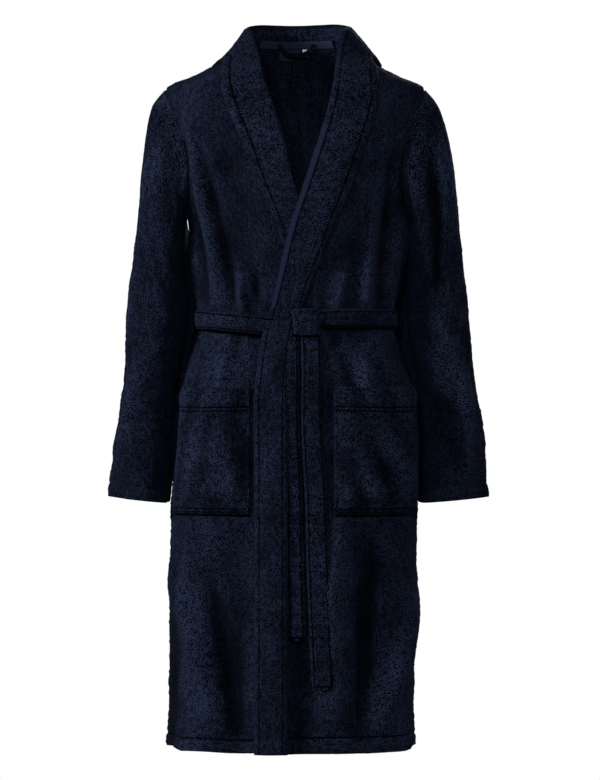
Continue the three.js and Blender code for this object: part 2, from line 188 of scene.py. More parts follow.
@dataclass(frozen=True)
class Body:
    """The round form that the robe hangs on, as sections up the body."""

    hem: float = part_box("back_panel")[0].z
    hip: float = -0.747
    pocket_line: float = -0.553
    waist: float = -0.431
    underarm: float = -0.262
    shoulder: float = -0.045
    collar_top: float = 0.066
    hem_half_width: float = 0.199
    hip_half_width: float = 0.196
    waist_half_width: float = 0.157
    underarm_half_width: float = 0.174
    shoulder_half_width: float = 0.209
    neck_half_width: float = 0.118
    collar_top_half_width: float = 0.066
    hem_half_depth: float = 0.146
    waist_half_depth: float = 0.104
    chest_half_depth: float = 0.116
    neck_half_depth: float = 0.078
    squareness: float = 2.4
    mean_radius: float = 0.19

    def round_way(self, angle: Array) -> Array:
        """The distance round the body to an angle, roughly, for patterns that follow the cloth."""
        return np.radians(angle) * self.mean_radius

    def half_width(self, z: Array) -> Array:
        """The body's width.

        Args:
            z: heights.

        Returns:
            Half its width at each height.
        """
        return Curve((
            (self.hem, self.hem_half_width), (self.hip, self.hip_half_width),
            (self.pocket_line, 0.8 * self.hip_half_width + 0.2 * self.waist_half_width),
            (self.waist, self.waist_half_width), (self.waist + 0.04, self.waist_half_width + 0.001),
            (self.underarm, self.underarm_half_width),
            ((self.underarm + 2 * self.shoulder) / 3, self.shoulder_half_width - 0.008),
            (self.shoulder, self.shoulder_half_width),
            (self.shoulder + 0.02, 0.5 * (self.shoulder_half_width + self.neck_half_width)),
            (0, self.neck_half_width), (self.collar_top, self.collar_top_half_width),
        ))(z)

    def half_depth(self, z: Array) -> Array:
        """The body's depth.

        Args:
            z: heights.

        Returns:
            Half its depth at each height.
        """
        return Curve((
            (self.hem, self.hem_half_depth),
            (self.pocket_line, 0.4 * self.hem_half_depth + 0.6 * self.waist_half_depth),
            (self.waist, self.waist_half_depth), (self.underarm, self.chest_half_depth),
            (self.shoulder - 0.06, self.chest_half_depth - 0.006),
            (self.shoulder, 0.5 * (self.chest_half_depth + self.neck_half_depth)),
            (0, self.neck_half_depth), (self.collar_top, self.neck_half_depth - 0.017),
        ))(z)

    def centre_x(self, z: Array) -> Array:
        """The body's lean.

        Args:
            z: heights.

        Returns:
            x of its middle at each height.
        """
        return Curve((
            (self.hem, -0.009), (self.hip, -0.002), (self.pocket_line, 0.004), (self.waist, 0.003),
            (self.shoulder, 0), (0, 0.003),
        ))(z)

    def skin(self, angle: Array, z: Array) -> Array:
        """Points on the bare form.

        Args:
            angle: degrees round the body.
            z: heights.

        Returns:
            The points, one row each.
        """
        turn = np.radians(angle)
        s, c = np.sin(turn), np.cos(turn)
        across = np.abs(s / self.half_width(z)) ** self.squareness
        along = np.abs(c / self.half_depth(z)) ** self.squareness
        radius = (across + along) ** (-1 / self.squareness)
        return np.stack([self.centre_x(z) + radius * s, -radius * c, z + 0 * radius], -1)

    def on(self, angle: Array, z: Array, offset: Array | float) -> Array:
        """Points that stand off the form, square to it.

        Args:
            angle: degrees round the body.
            z: heights.
            offset: how far out.

        Returns:
            The points, one row each.
        """
        around = self.skin(angle + 0.5, z) - self.skin(angle - 0.5, z)
        up = self.skin(angle, z + 0.001) - self.skin(angle, z - 0.001)
        normal = np.cross(around, up)
        normal /= np.linalg.norm(normal, axis=-1, keepdims=True)
        return self.skin(angle, z) + normal * np.reshape(offset + 0 * np.asarray(z), (-1, 1))

    def depth_at(self, x: Array, z: Array) -> Array:
        """How far the form reaches from its mid plane at x."""
        share = np.minimum(np.abs((x - self.centre_x(z)) / self.half_width(z)), 0.999)
        return self.half_depth(z) * (1 - share**self.squareness) ** (1 / self.squareness)

    def front_angle(self, x: Array, z: Array) -> Array:
        """The angle of the place on the front at x."""
        return np.degrees(np.arctan2(x - self.centre_x(z), self.depth_at(x, z)))

    def back_angle(self, x: Array, z: Array) -> Array:
        """The angle of the place on the back at x."""
        return 180 - self.front_angle(x, z)

    def side_x(self, side: int, y: Array, z: Array) -> Array:
        """Where the form's side lies.

        Args:
            side: +1 for the wearer's left, -1 for the right.
            y: places from front to back.
            z: heights.

        Returns:
            x of the side at each place.
        """
        share = np.minimum(np.abs(y / self.half_depth(z)), 0.999)
        reach = self.half_width(z) * (1 - share**self.squareness) ** (1 / self.squareness)
        return self.centre_x(z) + side * reach


@dataclass(frozen=True)
class Layers:
    """How far each layer's inner face lies from the body, and how thick the cloth is.

    Attributes:
        cloth: one layer of fleece.
        folded: a band, folded and stitched.
        gap: the air between two layers.
        seat: from a panel's inner face to the inner face of a patch that is sewn on it.
    """

    cloth: float = 0.003
    folded: float = 0.004
    gap: float = 0.001
    seat: float = 0.0042

    @property
    def under_band(self) -> float:
        """The under front's collar and band."""
        return self.cloth + self.gap

    @property
    def upper_front(self) -> float:
        """The upper front, over the under front's band."""
        return self.under_band + self.folded + self.gap + 0.0004

    @property
    def upper_band(self) -> float:
        """The upper front's collar and band."""
        return self.upper_front + self.cloth + self.gap

    @property
    def over_bands(self) -> float:
        """The belt and its tails."""
        return self.upper_band + self.folded + self.gap

    def lift(self, body: Body, angle: Array, z: Array) -> Array:
        """How far the upper front is carried out by what it laps over.

        Args:
            body: the form beneath.
            angle: degrees round the body.
            z: heights.

        Returns:
            The distance: whole near the middle, where the lap is two fronts deep, and none by
            the side, a turn of 25 to 58 degrees at the chest and of 55 to 85 at the waist.
        """
        down = smooth(body.underarm, body.waist, z)
        full, none = 25 + 30 * down, 58 + 27 * down
        t = np.clip((angle - full) / (none - full), 0, 1)
        return self.upper_front * (1 - t * t * (3 - 2 * t)) * smooth(0, 0.11, body.shoulder - 0.015 - z)

    def belt(self, angle: Array) -> Array:
        """The belt's inner face: close on the back and sides, out over the bands in front."""
        turn = np.abs((angle + 540) % 360 - 180)
        return self.under_band + 0.0002 + (self.over_bands - self.under_band) * (1 - smooth(45, 88, turn))


BODY = Body()
LAYERS = Layers()


# ---------------------------------------------------------------- shader helpers


class Value:
    """A number socket that Python's operators work on, each adding a Math node."""

    def __init__(self, shader: "Shader", socket: bpy.types.NodeSocket) -> None:
        """Wraps a socket of a shader."""
        self.shader = shader
        self.socket = socket

    def _math(self, operation: str, *values: "Value | float") -> "Value":
        """A Math node on these values."""
        return self.shader.math(operation, *values)

    def __add__(self, other: "Value | float") -> "Value":
        """The sum."""
        return self._math("ADD", self, other)

    def __sub__(self, other: "Value | float") -> "Value":
        """The difference."""
        return self._math("SUBTRACT", self, other)

    def __rsub__(self, other: "Value | float") -> "Value":
        """The difference from a number."""
        return self._math("SUBTRACT", other, self)

    def __mul__(self, other: "Value | float") -> "Value":
        """The product."""
        return self._math("MULTIPLY", self, other)

    __radd__ = __add__
    __rmul__ = __mul__


class Shader:
    """One material's nodes."""

    sheen_roughness = 0.45
    specular = 0.01

    def __init__(self, name: str) -> None:
        """Starts an empty material of this name."""
        self.material = bpy.data.materials.new(name)
        self.material.use_nodes = True
        self.tree = self.material.node_tree
        self.tree.nodes.clear()

    def node(self, kind: str, settings: dict | None = None, inputs: dict | None = None) -> bpy.types.Node:
        """Adds a node.

        Args:
            kind: the node's type.
            settings: attributes set first, such as an operation.
            inputs: socket names or numbers, to a value, a Value or a socket.

        Returns:
            The node.
        """
        node = self.tree.nodes.new(kind)
        for key, value in (settings or {}).items():
            setattr(node, key, value)
        for key, value in (inputs or {}).items():
            if isinstance(value, Value):
                value = value.socket
            if isinstance(value, bpy.types.NodeSocket):
                self.tree.links.new(value, node.inputs[key])
            else:
                node.inputs[key].default_value = value
        return node

    def math(self, operation: str, *values: Value | float) -> Value:
        """A Math node on one to three values."""
        node = self.node("ShaderNodeMath", {"operation": operation}, dict(enumerate(values)))
        return Value(self, node.outputs[0])

    def step(self, value: Value, low: float, high: float) -> Value:
        """A smooth step of a value from 0 at low to 1 at high."""
        node = self.node(
            "ShaderNodeMapRange", {"interpolation_type": "SMOOTHSTEP"},
            {"Value": value, "From Min": low, "From Max": high},
        )
        return Value(self, node.outputs["Result"])

    def noise(self, place: bpy.types.NodeSocket, size: float, detail: float = 1.0) -> Value:
        """Flat noise of a feature size in metres."""
        node = self.node(
            "ShaderNodeTexNoise", {"noise_dimensions": "2D"},
            {"Vector": place, "Scale": 1 / size, "Detail": detail},
        )
        return Value(self, node.outputs[0])

    def mix(self, factor: Value | float, first: object, second: object) -> bpy.types.NodeSocket:
        """A colour between two colours."""
        node = self.node(
            "ShaderNodeMix", {"data_type": "RGBA"}, {0: factor, 6: first, 7: second}
        )
        return node.outputs[2]

    def finish(self, colour: object, normal: object, roughness: float, sheen: float, tint: tuple) -> None:
        """Ends the material in a Principled shader.

        Args:
            colour: the base colour's socket.
            normal: the normal's socket.
            roughness: the same all over.
            sheen: the weight of the fibres' sheen.
            tint: the sheen's colour.
        """
        surface = self.node("ShaderNodeBsdfPrincipled", None, {
            "Base Color": colour, "Normal": normal, "Roughness": roughness, "Sheen Weight": sheen,
            "Sheen Roughness": self.sheen_roughness, "Sheen Tint": (*tint, 1),
            "Specular IOR Level": self.specular,
        })
        self.node("ShaderNodeOutputMaterial", None, {"Surface": surface.outputs[0]})


# ---------------------------------------------------------------- finishes


@dataclass(frozen=True)
class Seam:
    """A row of stitches across the cloth's flat pattern, sunk in the pile."""

    axis: int
    at: float
    width: float = 0.0013


@dataclass(frozen=True)
class Fleece:
    """Navy coral fleece: curls of pile, with painted shade in the pits between them.

    Attributes:
        name: the material's name.
        seams: its rows of stitches.
        bare: the part of its flat pattern that a smooth tape covers: x from, x to, y from, y to.
        tip: the colour of the pile's tips.
        pit_shade: the painted shade between the tips, where the pile is low.
        tape: the smooth tape's colour.
        curl: the size of the curls, and their share of the pile's height.
        fibre: the size of the pile's finest clumps, and their share.
        tuft: the size of its larger clumps, and their share.
        level: how far the pile's height is brought down, so that its pits are below 0.
        patch: how wide the areas are where the pile lies one way, how much they differ and how
            light the darkest is.
        crest: how much painted light a fold's crest gets and painted shade its valley gets, and how light
            flat cloth is.
        tips: the heights at which tips begin and are whole.
        stitch_depth: how far a row of stitches sinks in the pile's height, which grooves the bump and paints
            shade along it.
        stray: how far the curls wander, and over what distance.
        depth: the pile's depth in metres.
    """

    name: str
    seams: tuple[Seam, ...] = ()
    bare: tuple[float, float, float, float] | None = None
    tape: tuple[float, float, float] = (0.0050, 0.0075, 0.0180)
    tip: tuple[float, float, float] = (0.0105, 0.0150, 0.0330)
    pit_shade: tuple[float, float, float] = (0.0002, 0.0002, 0.0005)
    curl: tuple[float, float] = (0.0040, 0.16)
    fibre: tuple[float, float] = (0.0023, 1.35)
    tuft: tuple[float, float] = (0.009, 0.50)
    level: float = 0.60
    patch: tuple[float, float, float] = (0.060, 1.5, 0.20)
    crest: tuple[float, float] = (0.75, 0.95)
    tips: tuple[float, float] = (0.14, 0.74)
    stitch_depth: float = 0.30
    stray: tuple[float, float] = (0.002, 0.004)
    depth: float = 0.0022

    def material(self) -> bpy.types.Material:
        """Builds the material on the piece's own flat pattern, in metres.

        Returns:
            The material.
        """
        s = Shader(self.name)
        flat = s.node("ShaderNodeUVMap", {"uv_map": "flat"}).outputs[0]
        split = s.node("ShaderNodeSeparateXYZ", None, {0: flat})
        places = [Value(s, split.outputs[axis]) for axis in (0, 1)]
        height = self.pile(s, flat)
        # Rows of stitches lower the pile's height, for a groove in the bump and painted shade along it.
        for seam in self.seams:
            gap = s.math("ABSOLUTE", places[seam.axis] - seam.at)
            height = height - (1 - s.step(gap, seam.width * 0.3, seam.width * 1.6)) * self.stitch_depth
        crest = Value(s, s.node("ShaderNodeAttribute", {"attribute_name": "crest"}).outputs["Fac"])
        size, difference, darkest = self.patch
        painted_fold_contrast, plain = self.crest
        # The tone: random patches of pile, times painted light on fold crests and painted shade in fold
        # valleys from the crest attribute.
        tone = (s.noise(flat, size, 2) * difference + darkest) * (crest * painted_fold_contrast + plain)
        # The pile's low places are painted in the dark shade colour and its high ones in the tips' colour,
        # scaled by the tone.
        colour = s.mix(s.step(height, *self.tips) * tone, (*self.pit_shade, 1), (*self.tip, 1))
        if self.bare:
            covered = self.taped(s, *places)
            colour = s.mix(covered, colour, (*self.tape, 1))
            height = height * (1 - covered) + covered * 0.5
        bump = s.node("ShaderNodeBump", None, {"Height": height, "Strength": 1.0, "Distance": self.depth})
        s.finish(colour, bump.outputs[0], 0.95, 0.012, (0.30, 0.42, 0.75))
        return s.material

    def pile(self, s: Shader, flat: bpy.types.NodeSocket) -> Value:
        """The pile's height.

        Args:
            s: the material's nodes.
            flat: places on the flat pattern.

        Returns:
            The height, above 0 on tips.
        """
        amount, distance = self.stray
        stray = s.node("ShaderNodeTexNoise", {"noise_dimensions": "2D"}, {
            "Vector": flat, "Scale": 1 / distance})
        shift = s.node("ShaderNodeVectorMath", {"operation": "MULTIPLY_ADD"}, {
            0: stray.outputs[1], 1: (amount, amount, 0), 2: flat})
        curls = s.node("ShaderNodeTexVoronoi", {"voronoi_dimensions": "2D"}, {
            "Vector": shift.outputs[0], "Scale": 1 / self.curl[0]})
        round_curls = 1 - Value(s, curls.outputs["Distance"]) * 1.3
        fine = s.noise(flat, self.fibre[0], 3) * self.fibre[1]
        coarse = s.noise(flat, self.tuft[0], 2) * self.tuft[1]
        return round_curls * self.curl[1] + fine + coarse - self.level

    def taped(self, s: Shader, x: Value, y: Value) -> Value:
        """Where the smooth tape covers the pile.

        Args:
            s: the material's nodes.
            x: places across the flat pattern.
            y: places along it.

        Returns:
            1 on the tape, falling to 0 past its edges.
        """
        x0, x1, y0, y1 = self.bare
        side, end = 0.001, 0.004
        across = s.step(x, x0, x0 + side) * (1 - s.step(x, x1 - side, x1))
        return across * s.step(y, y0, y0 + end) * (1 - s.step(y, y1 - end, y1))


# ---------------------------------------------------------------- meshes


def spread(start: float, end: float, step: float, fine_end: float = 0.0) -> Array:
    """Evenly spread values with closer ones near the start, where a hem is.

    Args:
        start: the first value.
        end: the last value.
        step: the usual distance between them.
        fine_end: how far from the start they lie at half the distance.

    Returns:
        The values.
    """
    sign = math.copysign(1, end - start)
    length = abs(end - start)
    near = np.arange(0, fine_end, step / 2)
    count = max(2, int(round((length - fine_end) / step)) + 1)
    return start + sign * np.append(near, np.linspace(fine_end, length, count))


def sheet_mesh(
    name: str, columns: Array, rows: Array, place: Place, closed: bool = False
) -> bpy.types.Object:
    """A cloth surface on a grid.

    Args:
        name: the piece's name.
        columns: values across.
        rows: values along.
        place: takes the values at every corner and gives points, flat pattern places and, where
            the cloth is folded, how far it lies on a crest, from -1 in a valley to 1.
        closed: whether the last column meets the first, as on a tube.

    Returns:
        The object, its faces pointing as the grid's do.
    """
    bm = bmesh.new()
    bmesh.ops.create_grid(bm, x_segments=len(columns) - 1, y_segments=len(rows) - 1, size=0.5)
    mesh = bpy.data.meshes.new(name)
    bm.to_mesh(mesh)
    bm.free()
    corners = np.empty(len(mesh.vertices) * 3)
    mesh.vertices.foreach_get("co", corners)
    corners = corners.reshape(-1, 3) + 0.5
    across = columns[np.rint(corners[:, 0] * (len(columns) - 1)).astype(int)]
    along = rows[np.rint(corners[:, 1] * (len(rows) - 1)).astype(int)]
    points, flat, *crest = place(across, along)
    mesh.vertices.foreach_set("co", points.ravel())
    corner_of = np.empty(len(mesh.loops), int)
    mesh.loops.foreach_get("vertex_index", corner_of)
    mesh.uv_layers.new(name="flat").data.foreach_set("uv", flat[corner_of].ravel())
    # The crest attribute is read by the fleece to paint light on fold crests and shade in fold valleys.
    if crest:
        mesh.attributes.new("crest", "FLOAT", "POINT").data.foreach_set("value", np.clip(crest[0], -1, 1))
    if closed:
        bm = bmesh.new()
        bm.from_mesh(mesh)
        bmesh.ops.remove_doubles(bm, verts=bm.verts, dist=1e-5)
        bm.to_mesh(mesh)
        bm.free()
    obj = bpy.data.objects.new(name, mesh)
    bpy.context.scene.collection.objects.link(obj)
    return obj


def face_outwards(obj: bpy.types.Object, middle: Callable[[Array], Array]) -> None:
    """Turns an open sheet's faces away from a middle line.

    Args:
        obj: the piece.
        middle: gives the point of the middle line nearest each face's centre.
    """
    mesh = obj.data
    centres, normals = np.empty(len(mesh.polygons) * 3), np.empty(len(mesh.polygons) * 3)
    mesh.polygons.foreach_get("center", centres)
    mesh.polygons.foreach_get("normal", normals)
    centres, normals = centres.reshape(-1, 3), normals.reshape(-1, 3)
    if np.sum(normals * (centres - middle(centres))) < 0:
        mesh.flip_normals()


def thicken(obj: bpy.types.Object, thickness: float) -> None:
    """Gives a sheet its thickness inwards, and shades it smooth.

    Args:
        obj: the sheet.
        thickness: how thick its cloth is.
    """
    wall = obj.modifiers.new("thickness", "SOLIDIFY")
    wall.thickness = thickness
    wall.offset = -1
    wall.use_rim = True
    ready = obj.evaluated_get(bpy.context.evaluated_depsgraph_get())
    obj.data = bpy.data.meshes.new_from_object(ready)
    obj.modifiers.clear()
    obj.data.shade_smooth()


def close_up(obj: bpy.types.Object) -> None:
    """Closes a strap's ends and turns its faces outwards.

    Args:
        obj: the strap.
    """
    bm = bmesh.new()
    bm.from_mesh(obj.data)
    bmesh.ops.remove_doubles(bm, verts=bm.verts, dist=2e-5)
    bmesh.ops.holes_fill(bm, edges=[e for e in bm.edges if e.is_boundary], sides=0)
    bmesh.ops.recalc_face_normals(bm, faces=bm.faces)
    bm.to_mesh(obj.data)
    bm.free()
    obj.data.shade_smooth()


def body_line(points: Array) -> Array:
    """The body's middle line at the height of each point."""
    return np.stack([BODY.centre_x(points[:, 2]), 0 * points[:, 1], points[:, 2]], -1)


# ---------------------------------------------------------------- straps: collars, bands, belt


@dataclass(frozen=True)
class Strap:
    """A folded or stitched strip of cloth with rounded edges, closed all round.

    Attributes:
        name: the piece's name.
        first: gives the (angle, z) of one long edge at each place along it.
        second: gives the same for the other long edge.
        lift: how far its inner face lies from the body at (angle, z, share across).
        thickness: from its inner to its outer face.
        length: how far it runs, metres of cloth.
        width: how wide it is, metres of cloth.
        puff: how much fuller its middle is than its edges.
        creases: how high its small creases stand.
        taper: how far from each end its corners are rounded, start and finish.
        step: the size of its faces.
    """

    name: str
    first: Callable[[Array], tuple[Array, Array]]
    second: Callable[[Array], tuple[Array, Array]]
    lift: Callable[[Array, Array, Array], Array]
    thickness: float
    length: float
    width: float
    puff: float = 0.0
    creases: float = 0.0
    taper: tuple[float, float] = (0.0, 0.0)
    step: float = 0.0045

    def build(self) -> bpy.types.Object:
        """Builds the strap on the body.

        Returns:
            The object, closed all round.
        """
        across = max(8, int(round(self.width / self.step)))
        outer = np.linspace(0, 1, across + 1)
        inner = np.linspace(1, 0, across + 1)[1:]
        share = np.concatenate([outer, inner])
        side = np.concatenate([np.ones(len(outer)), -np.ones(len(inner))])
        side[[0, across, -1]] = 0
        order = np.arange(len(share), dtype=float)
        round_from = 1 - 1.5 * self.taper[1] / self.length
        along = spread(0, round_from, self.step / self.length)
        if self.taper[1]:
            along = np.append(along[:-1], np.linspace(round_from, 1, 26))

        def place(c: Array, r: Array) -> tuple[Array, Array]:
            """Places the strap's corners.

            Args:
                c: which corner of its section.
                r: how far along, 0 to 1.

            Returns:
                The points and their flat pattern places.
            """
            k = np.rint(c).astype(int)
            across_share, face = share[k], side[k]
            narrow = np.ones(len(r))
            for end, reach in ((r, self.taper[0]), (1 - r, self.taper[1])):
                if reach:
                    t = np.clip(end * self.length / reach, 0, 1)
                    narrow = narrow * np.maximum(1 - (1 - t) ** 3, 0.02) ** 0.5
            s = 0.5 + (across_share - 0.5) * narrow
            a0, z0 = self.first(r)
            a1, z1 = self.second(r)
            angle, z = a0 + (a1 - a0) * s, z0 + (z1 - z0) * s
            edge = np.minimum(across_share, 1 - across_share) * self.width * narrow
            round_off = np.sqrt(np.clip(1 - (1 - np.clip(edge / (0.9 * self.thickness), 0, 1)) ** 2, 0, 1))
            half = 0.5 * self.thickness * (0.12 + 0.88 * round_off) * np.abs(face)
            x_flat, y_flat = s * self.width, r * self.length
            fullness = self.puff * np.sin(np.pi * across_share) * (face > 0)
            crease = self.creases * lumps(x_flat * 0.6, y_flat, 0.055, 7) * (0.3 + 0.7 * round_off)
            bits = 0.0006 * lumps(x_flat, y_flat, 0.009, 11) * (face > 0)
            offset = self.lift(angle, z, s) + 0.5 * self.thickness + half * face + fullness + crease + bits
            rim = 0.5 * self.thickness * (1 - round_off) * np.where(across_share < 0.5, -1, 1)
            flat_x = np.where(face >= 0, x_flat + rim, 2 * self.width - x_flat - rim)
            return BODY.on(angle, z, offset), np.stack([flat_x, y_flat], -1)

        obj = sheet_mesh(self.name, order, along, place)
        close_up(obj)
        return obj


def fixed(value: float) -> Callable[[Array, Array, Array], Array]:
    """A lift that is the same everywhere."""
    return lambda angle, z, share: value + 0 * z


# ---------------------------------------------------------------- the parts of the robe


@dataclass(frozen=True)
class Edges:
    """The fronts' free edges, and the lines of the collar and the bands."""

    band_top: float = -0.460
    band_width: float = 0.052
    right_band_width: float = 0.034
    fold_top: float = -0.640
    band_edge_x: float = -0.063
    fold_hem_x: float = 0.016
    fold_y: float = -0.144

    def under(self, z: Array) -> Array:
        """The right front's free edge, which lies underneath.

        Args:
            z: heights.

        Returns:
            x of the edge at each height.
        """
        return Curve((
            (-0.002, -0.070), (-0.060, -0.050), (-0.116, -0.031), (-0.205, -0.008), (-0.290, 0.022),
            (-0.361, 0.052), (BODY.waist, 0.095), (BODY.hem, 0.095),
        ))(z)

    def upper(self, z: Array) -> Array:
        """The left front's free edge, which lies on top.

        Args:
            z: heights.

        Returns:
            x of the edge at each height.
        """
        return Curve((
            (-0.002, 0.075), (-0.020, 0.072), (-0.060, 0.067), (-0.108, 0.054), (-0.197, 0.026),
            (-0.270, 0.002), (-0.350, -0.020), (self.band_top, -0.053), (-0.553, -0.063),
            (BODY.hem, -0.063),
        ))(z)


@dataclass(frozen=True)
class ShawlCollar:
    """Both collars, as pairs of points: the fold at the neck and the outer edge."""

    back: tuple = (
        ((180, 0.066), (180, -0.022)), ((138, 0.064), (136, -0.020)), ((102, 0.057), (100, -0.013)),
    )
    left: tuple = (
        ((0.069, 0.044), (0.124, -0.008)), ((0.066, 0.026), (0.130, -0.018)),
        ((0.063, -0.020), (0.134, -0.042)), ((0.057, -0.060), (0.133, -0.076)),
        ((0.044, -0.108), (0.121, -0.118)), ((0.016, -0.197), (0.092, -0.200)),
        ((-0.008, -0.270), (0.064, -0.270)), ((-0.024, -0.340), (0.038, -0.335)),
        ((-0.038, -0.405), (0.014, -0.400)), ((-0.050, -0.452), (-0.002, -0.452)),
    )
    right: tuple = (
        ((-0.066, 0.044), (-0.118, -0.008)), ((-0.061, 0.026), (-0.119, -0.018)),
        ((-0.053, -0.014), (-0.121, -0.038)), ((-0.040, -0.060), (-0.113, -0.072)),
        ((-0.021, -0.116), (-0.090, -0.126)), ((0.002, -0.205), (-0.062, -0.196)),
        ((0.025, -0.275), (-0.038, -0.252)), ((0.045, -0.335), (-0.016, -0.310)),
        ((0.068, -0.385), (0.020, -0.370)), ((0.092, BODY.waist), (0.056, BODY.waist)),
    )

    def lines(self, side: int) -> list[tuple[tuple[float, float], tuple[float, float]]]:
        """One side's pairs of points, from the middle of the back to the front's end.

        Args:
            side: +1 for the wearer's left, -1 for the right.

        Returns:
            Pairs of (angle, z).
        """
        pairs = [((side * a, za), (side * b, zb)) for (a, za), (b, zb) in self.back]
        for (xa, za), (xb, zb) in self.left if side > 0 else self.right:
            pairs.append(((float(BODY.front_angle(np.array(xa), np.array(za))), za),
                          (float(BODY.front_angle(np.array(xb), np.array(zb))), zb)))
        return pairs


def follow(points: list[tuple[float, float]], shares: list[float]) -> Callable[[Array], tuple[Array, Array]]:
    """A smooth line through (angle, z) points at shares of its length.

    Args:
        points: the line's points.
        shares: where along it each lies, 0 to 1.

    Returns:
        A function from shares to angles and heights.
    """
    angles = Curve(tuple(zip(shares, (p[0] for p in points))))
    heights = Curve(tuple(zip(shares, (p[1] for p in points))))
    return lambda r: (angles(r), heights(r))


EDGES = Edges()
COLLAR = ShawlCollar()


@dataclass(frozen=True)
class Drape:
    """How the robe's cloth hangs.

    Attributes:
        gather_height: how high the gathers at the waist stand.
        gather_pitch: from one gather to the next.
        swell: how high the wide swells of the skirt and the chest stand.
        rest: how far plain cloth stands off, so that valleys don't sink into the body.
        hem_bulge: how full a turned hem is.
        front: the folds seen on the front.
        back: those on the back.
    """

    gather_height: float = 0.0055
    gather_pitch: float = 0.043
    swell: float = 0.0055
    rest: float = 0.0015
    hem_bulge: float = 0.0016
    front: tuple[Fold, ...] = (
        Fold(((-0.178, -0.070), (-0.150, -0.210), (-0.128, -0.310), (-0.118, -0.420)), 0.0150, 0.0095),
        Fold(((-0.190, -0.090), (-0.166, -0.230), (-0.148, -0.330), (-0.140, -0.420)), -0.0100, 0.008),
        Fold(((-0.160, -0.120), (-0.132, -0.230), (-0.108, -0.330), (-0.098, -0.410)), -0.0100, 0.009),
        Fold(((-0.168, -0.290), (-0.156, -0.410)), 0.0110, 0.0075),
        Fold(((-0.085, -0.330), (-0.080, -0.425)), 0.0095, 0.008),
        Fold(((-0.060, -0.350), (-0.062, -0.425)), -0.0070, 0.007),
        Fold(((-0.108, -0.452), (-0.118, -0.560), (-0.125, -0.640)), 0.0110, 0.012),
        Fold(((-0.190, -0.830), (-0.150, -0.980), (-0.112, -1.100)), 0.0150, 0.017),
        Fold(((-0.150, -0.790), (-0.112, -0.960), (-0.088, -1.100)), -0.0120, 0.015),
        Fold(((0.186, -0.110), (0.174, -0.240), (0.156, -0.410)), 0.0140, 0.0095),
        Fold(((0.160, -0.090), (0.148, -0.240), (0.134, -0.415)), -0.0105, 0.009),
        Fold(((0.122, -0.250), (0.104, -0.420)), 0.0105, 0.0085),
        Fold(((0.080, -0.330), (0.062, -0.425)), 0.0080, 0.008),
        Fold(((0.105, -0.452), (0.112, -0.560), (0.110, -0.620)), 0.0110, 0.012),
        Fold(((0.194, -0.850), (0.160, -0.985), (0.130, -1.100)), 0.0150, 0.017),
        Fold(((0.070, -0.720), (0.058, -0.900), (0.066, -1.090)), 0.0110, 0.018),
        Fold(((0.116, -0.780), (0.104, -0.950), (0.094, -1.100)), -0.0110, 0.016),
        Fold(((-0.030, -0.560), (-0.022, -0.760), (-0.030, -1.000)), 0.0045, 0.020),
    )
    back: tuple[Fold, ...] = (
        Fold(((0.003, 0.010), (0.009, -0.080), (0.018, -0.190)), 0.0085, 0.0065),
        Fold(((-0.090, -0.140), (-0.075, -0.280), (-0.066, -0.410)), 0.0090, 0.011),
        Fold(((0.100, -0.120), (0.080, -0.270), (0.070, -0.410)), 0.0090, 0.011),
        Fold(((-0.040, -0.455), (-0.056, -0.620), (-0.070, -0.900)), 0.0110, 0.016),
        Fold(((0.030, -0.455), (0.050, -0.640), (0.064, -0.920)), 0.0110, 0.016),
        Fold(((0.115, -0.470), (0.128, -0.680), (0.140, -1.050)), 0.0100, 0.018),
        Fold(((-0.120, -0.470), (-0.132, -0.680), (-0.146, -1.050)), 0.0100, 0.018),
    )

    def relief(self, angle: Array, z: Array) -> Array:
        """How far the cloth stands off its plain shape.

        Args:
            angle: degrees round the body.
            z: heights.

        Returns:
            The relief, never far below 0.
        """
        at = BODY.skin(angle, z)
        x = at[..., 0]
        front = np.cos(np.radians(angle)) > 0.02
        total = np.zeros(len(z))
        for fold in self.front:
            total = total + np.where(front, fold.relief(x, z), 0)
        for fold in self.back:
            total = total + np.where(front, 0, fold.relief(x, z))
        round_way = BODY.round_way(angle)
        near_waist = ridge(z - BODY.waist, 0.085)
        gathers = np.sin(math.tau * (round_way + 0.05 * lumps(round_way, z, 0.4, 3)) / self.gather_pitch)
        uneven = 0.5 + 0.5 * lumps(round_way, 0 * z, 0.16, 5)
        total = total + self.gather_height * near_waist * gathers * uneven
        low = smooth(-0.5, -1.1, z)
        high = smooth(-0.40, -0.2, z) * smooth(0.02, -0.05, z)
        wide = lumps(round_way, z * 0.18, 0.15, 9)
        total = total + self.swell * wide * (0.25 + low + 0.45 * high)
        total = total + 0.0015 * lumps(round_way, z * 0.7, 0.052, 13)
        total = total + 0.0010 * lumps(round_way, z, 0.010, 17)
        tight = ridge(z - BODY.waist - 0.004, 0.022)
        return (total + self.rest) * (1 - 0.85 * tight)


DRAPE = Drape()


def hem(z: Array, bottom: float, band: float) -> Array:
    """The relief of a turned hem: a soft roll below a row of stitches.

    Args:
        z: heights.
        bottom: the hem's height.
        band: how deep the turned part is.

    Returns:
        The relief at each height.
    """
    up = z - bottom
    return DRAPE.hem_bulge * np.sin(np.pi * np.clip(up / band, 0, 1)) - 0.0011 * ridge(up - band, 0.0026)


def declare(
    obj: bpy.types.Object, body: str, slot: str, flat: tuple[float, float], held: Held, *nodes: str
) -> None:
    """Gives a cloth piece its place in the rig, hides the frame's nodes that it replaces and logs its faces.

    Args:
        obj: the piece.
        body: the moving body that it rides, or "" to leave it unattached.
        slot: the record's colour slot; not used.
        flat: its width and length laid flat; not used.
        held: how it is held; not used.
        nodes: the frame's nodes that it replaces.
    """
    if body:
        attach(obj, body)
    if nodes:
        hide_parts(*nodes)
    log.info("%s: %d faces", obj.name, len(obj.data.polygons))


